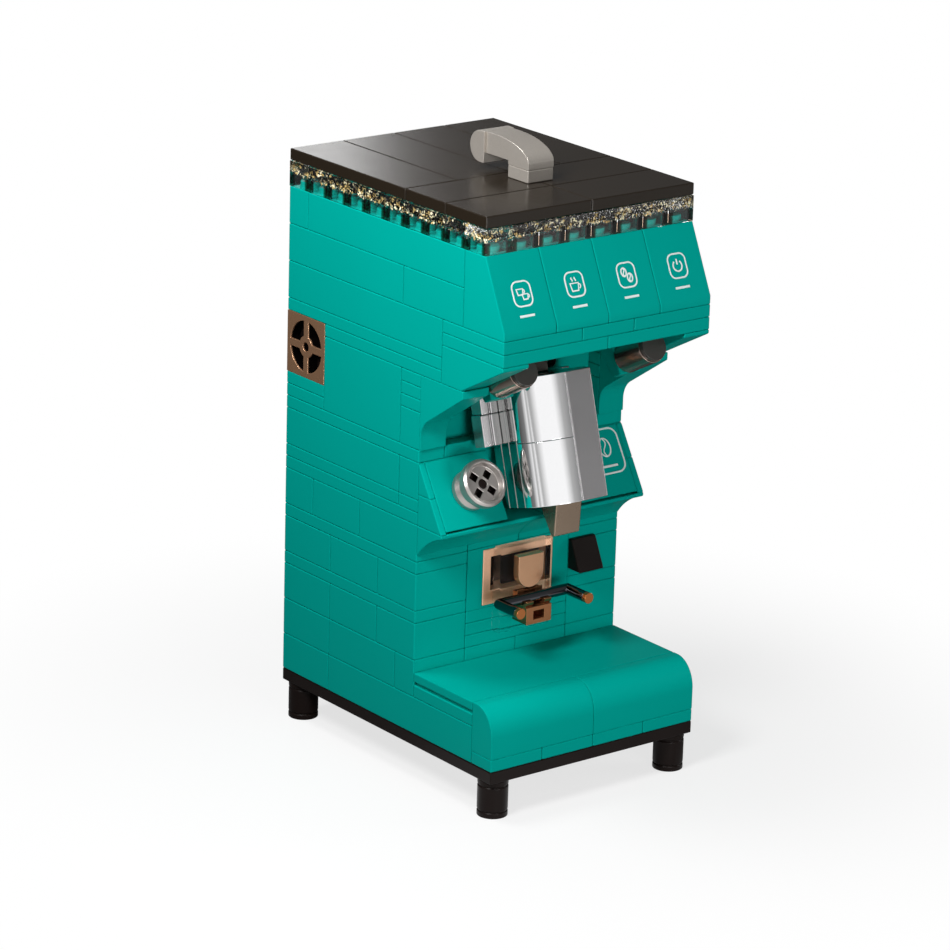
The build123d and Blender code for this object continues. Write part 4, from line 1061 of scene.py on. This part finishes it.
def make_floor():
    """Pale paper that keeps the object's shadow and turns white farther out; greyer in mirrors."""
    material, tree, _ = new_material("pale_floor")
    tree.nodes.clear()
    place = object_place(tree)
    seen, path = seen_rays(tree)
    paper = tree.nodes.new("ShaderNodeBsdfDiffuse")
    tree.links.new(remap(tree, seen, PAPER_BOUNCE, PAPER_SEEN), paper.inputs["Color"])
    white = tree.nodes.new("ShaderNodeEmission")
    mirrored = room_grey(tree, vectors(tree, "NORMALIZE", place), FLOOR_GREYS)
    straight = maths(tree, "SUBTRACT", 1.0, path["Is Glossy Ray"])
    tree.links.new(maths(tree, "MAXIMUM", mirrored, straight), white.inputs["Color"])
    fade = remap(tree, vectors(tree, "LENGTH", place), FADE_LOW, 1.0, FADE_BEGIN, FADE_END)
    fade.node.interpolation_type = "SMOOTHSTEP"
    mix = tree.nodes.new("ShaderNodeMixShader")
    tree.links.new(maths(tree, "MULTIPLY", seen, fade), mix.inputs["Fac"])
    tree.links.new(paper.outputs["BSDF"], mix.inputs[1])
    tree.links.new(white.outputs["Emission"], mix.inputs[2])
    end = tree.nodes.new("ShaderNodeOutputMaterial")
    tree.links.new(mix.outputs["Shader"], end.inputs["Surface"])
    corners = [(x * FLOOR_HALF, y * FLOOR_HALF, 0) for x, y in ((-1, -1), (1, -1), (1, 1), (-1, 1))]
    floor = link("floor", plain_mesh("floor", corners), material)


def make_world():
    """White to look at; in mirrors bright in front on the left and grey elsewhere; dim as a light."""
    world = bpy.data.worlds.new("studio")
    world.use_nodes = True
    tree = world.node_tree
    tree.nodes.clear()
    direction = tree.nodes.new("ShaderNodeTexCoord").outputs["Generated"]
    seen, path = seen_rays(tree)
    strength = remap(tree, seen, WORLD_LIGHT, 1.0)
    grey = maths(tree, "MULTIPLY", room_grey(tree, direction, WALL_GREYS), strength)
    pale = tree.nodes.new("ShaderNodeBackground")
    tree.links.new(maths(tree, "MAXIMUM", grey, path["Is Camera Ray"]), pale.inputs["Color"])
    end = tree.nodes.new("ShaderNodeOutputWorld")
    tree.links.new(pale.outputs["Background"], end.inputs["Surface"])
    SCENE.world = world


def softbox(name, place, target, size, power):
    """A rectangular lamp that faces a target and isn't seen itself."""
    lamp = bpy.data.lights.new(name, "AREA")
    lamp.shape = "RECTANGLE"
    lamp.size, lamp.size_y = size
    lamp.energy = power
    holder = bpy.data.objects.new(name, lamp)
    holder.location = place
    holder.rotation_euler = (Vector(target) - Vector(place)).to_track_quat("-Z", "Y").to_euler()
    holder.visible_camera = False
    SCENE.collection.objects.link(holder)


def make_camera():
    """The photograph's own view of the machine."""
    lens = bpy.data.cameras.new("photo_view")
    lens.sensor_width = SENSOR
    lens.lens = LENS
    lens.clip_start = NEAR_CLIP
    camera = bpy.data.objects.new("photo_view", lens)
    level = Vector((math.sin(EYE_YAW), math.cos(EYE_YAW), 0))
    ahead = level * math.cos(EYE_DOWN) - Vector((0, 0, math.sin(EYE_DOWN)))
    right = Vector((math.cos(EYE_YAW), -math.sin(EYE_YAW), 0))
    up = right.cross(ahead)
    rolled_right = right * math.cos(EYE_ROLL) - up * math.sin(EYE_ROLL)
    rolled_up = right * math.sin(EYE_ROLL) + up * math.cos(EYE_ROLL)
    turn = Matrix((rolled_right, rolled_up, -ahead)).transposed().to_4x4()
    camera.matrix_world = Matrix.Translation(EYE) @ turn
    SCENE.collection.objects.link(camera)
    SCENE.camera = camera


make_floor()
make_world()
for lamp_row in LAMPS:
    softbox(*lamp_row)
make_camera()
SCENE.view_settings.view_transform = "Standard"
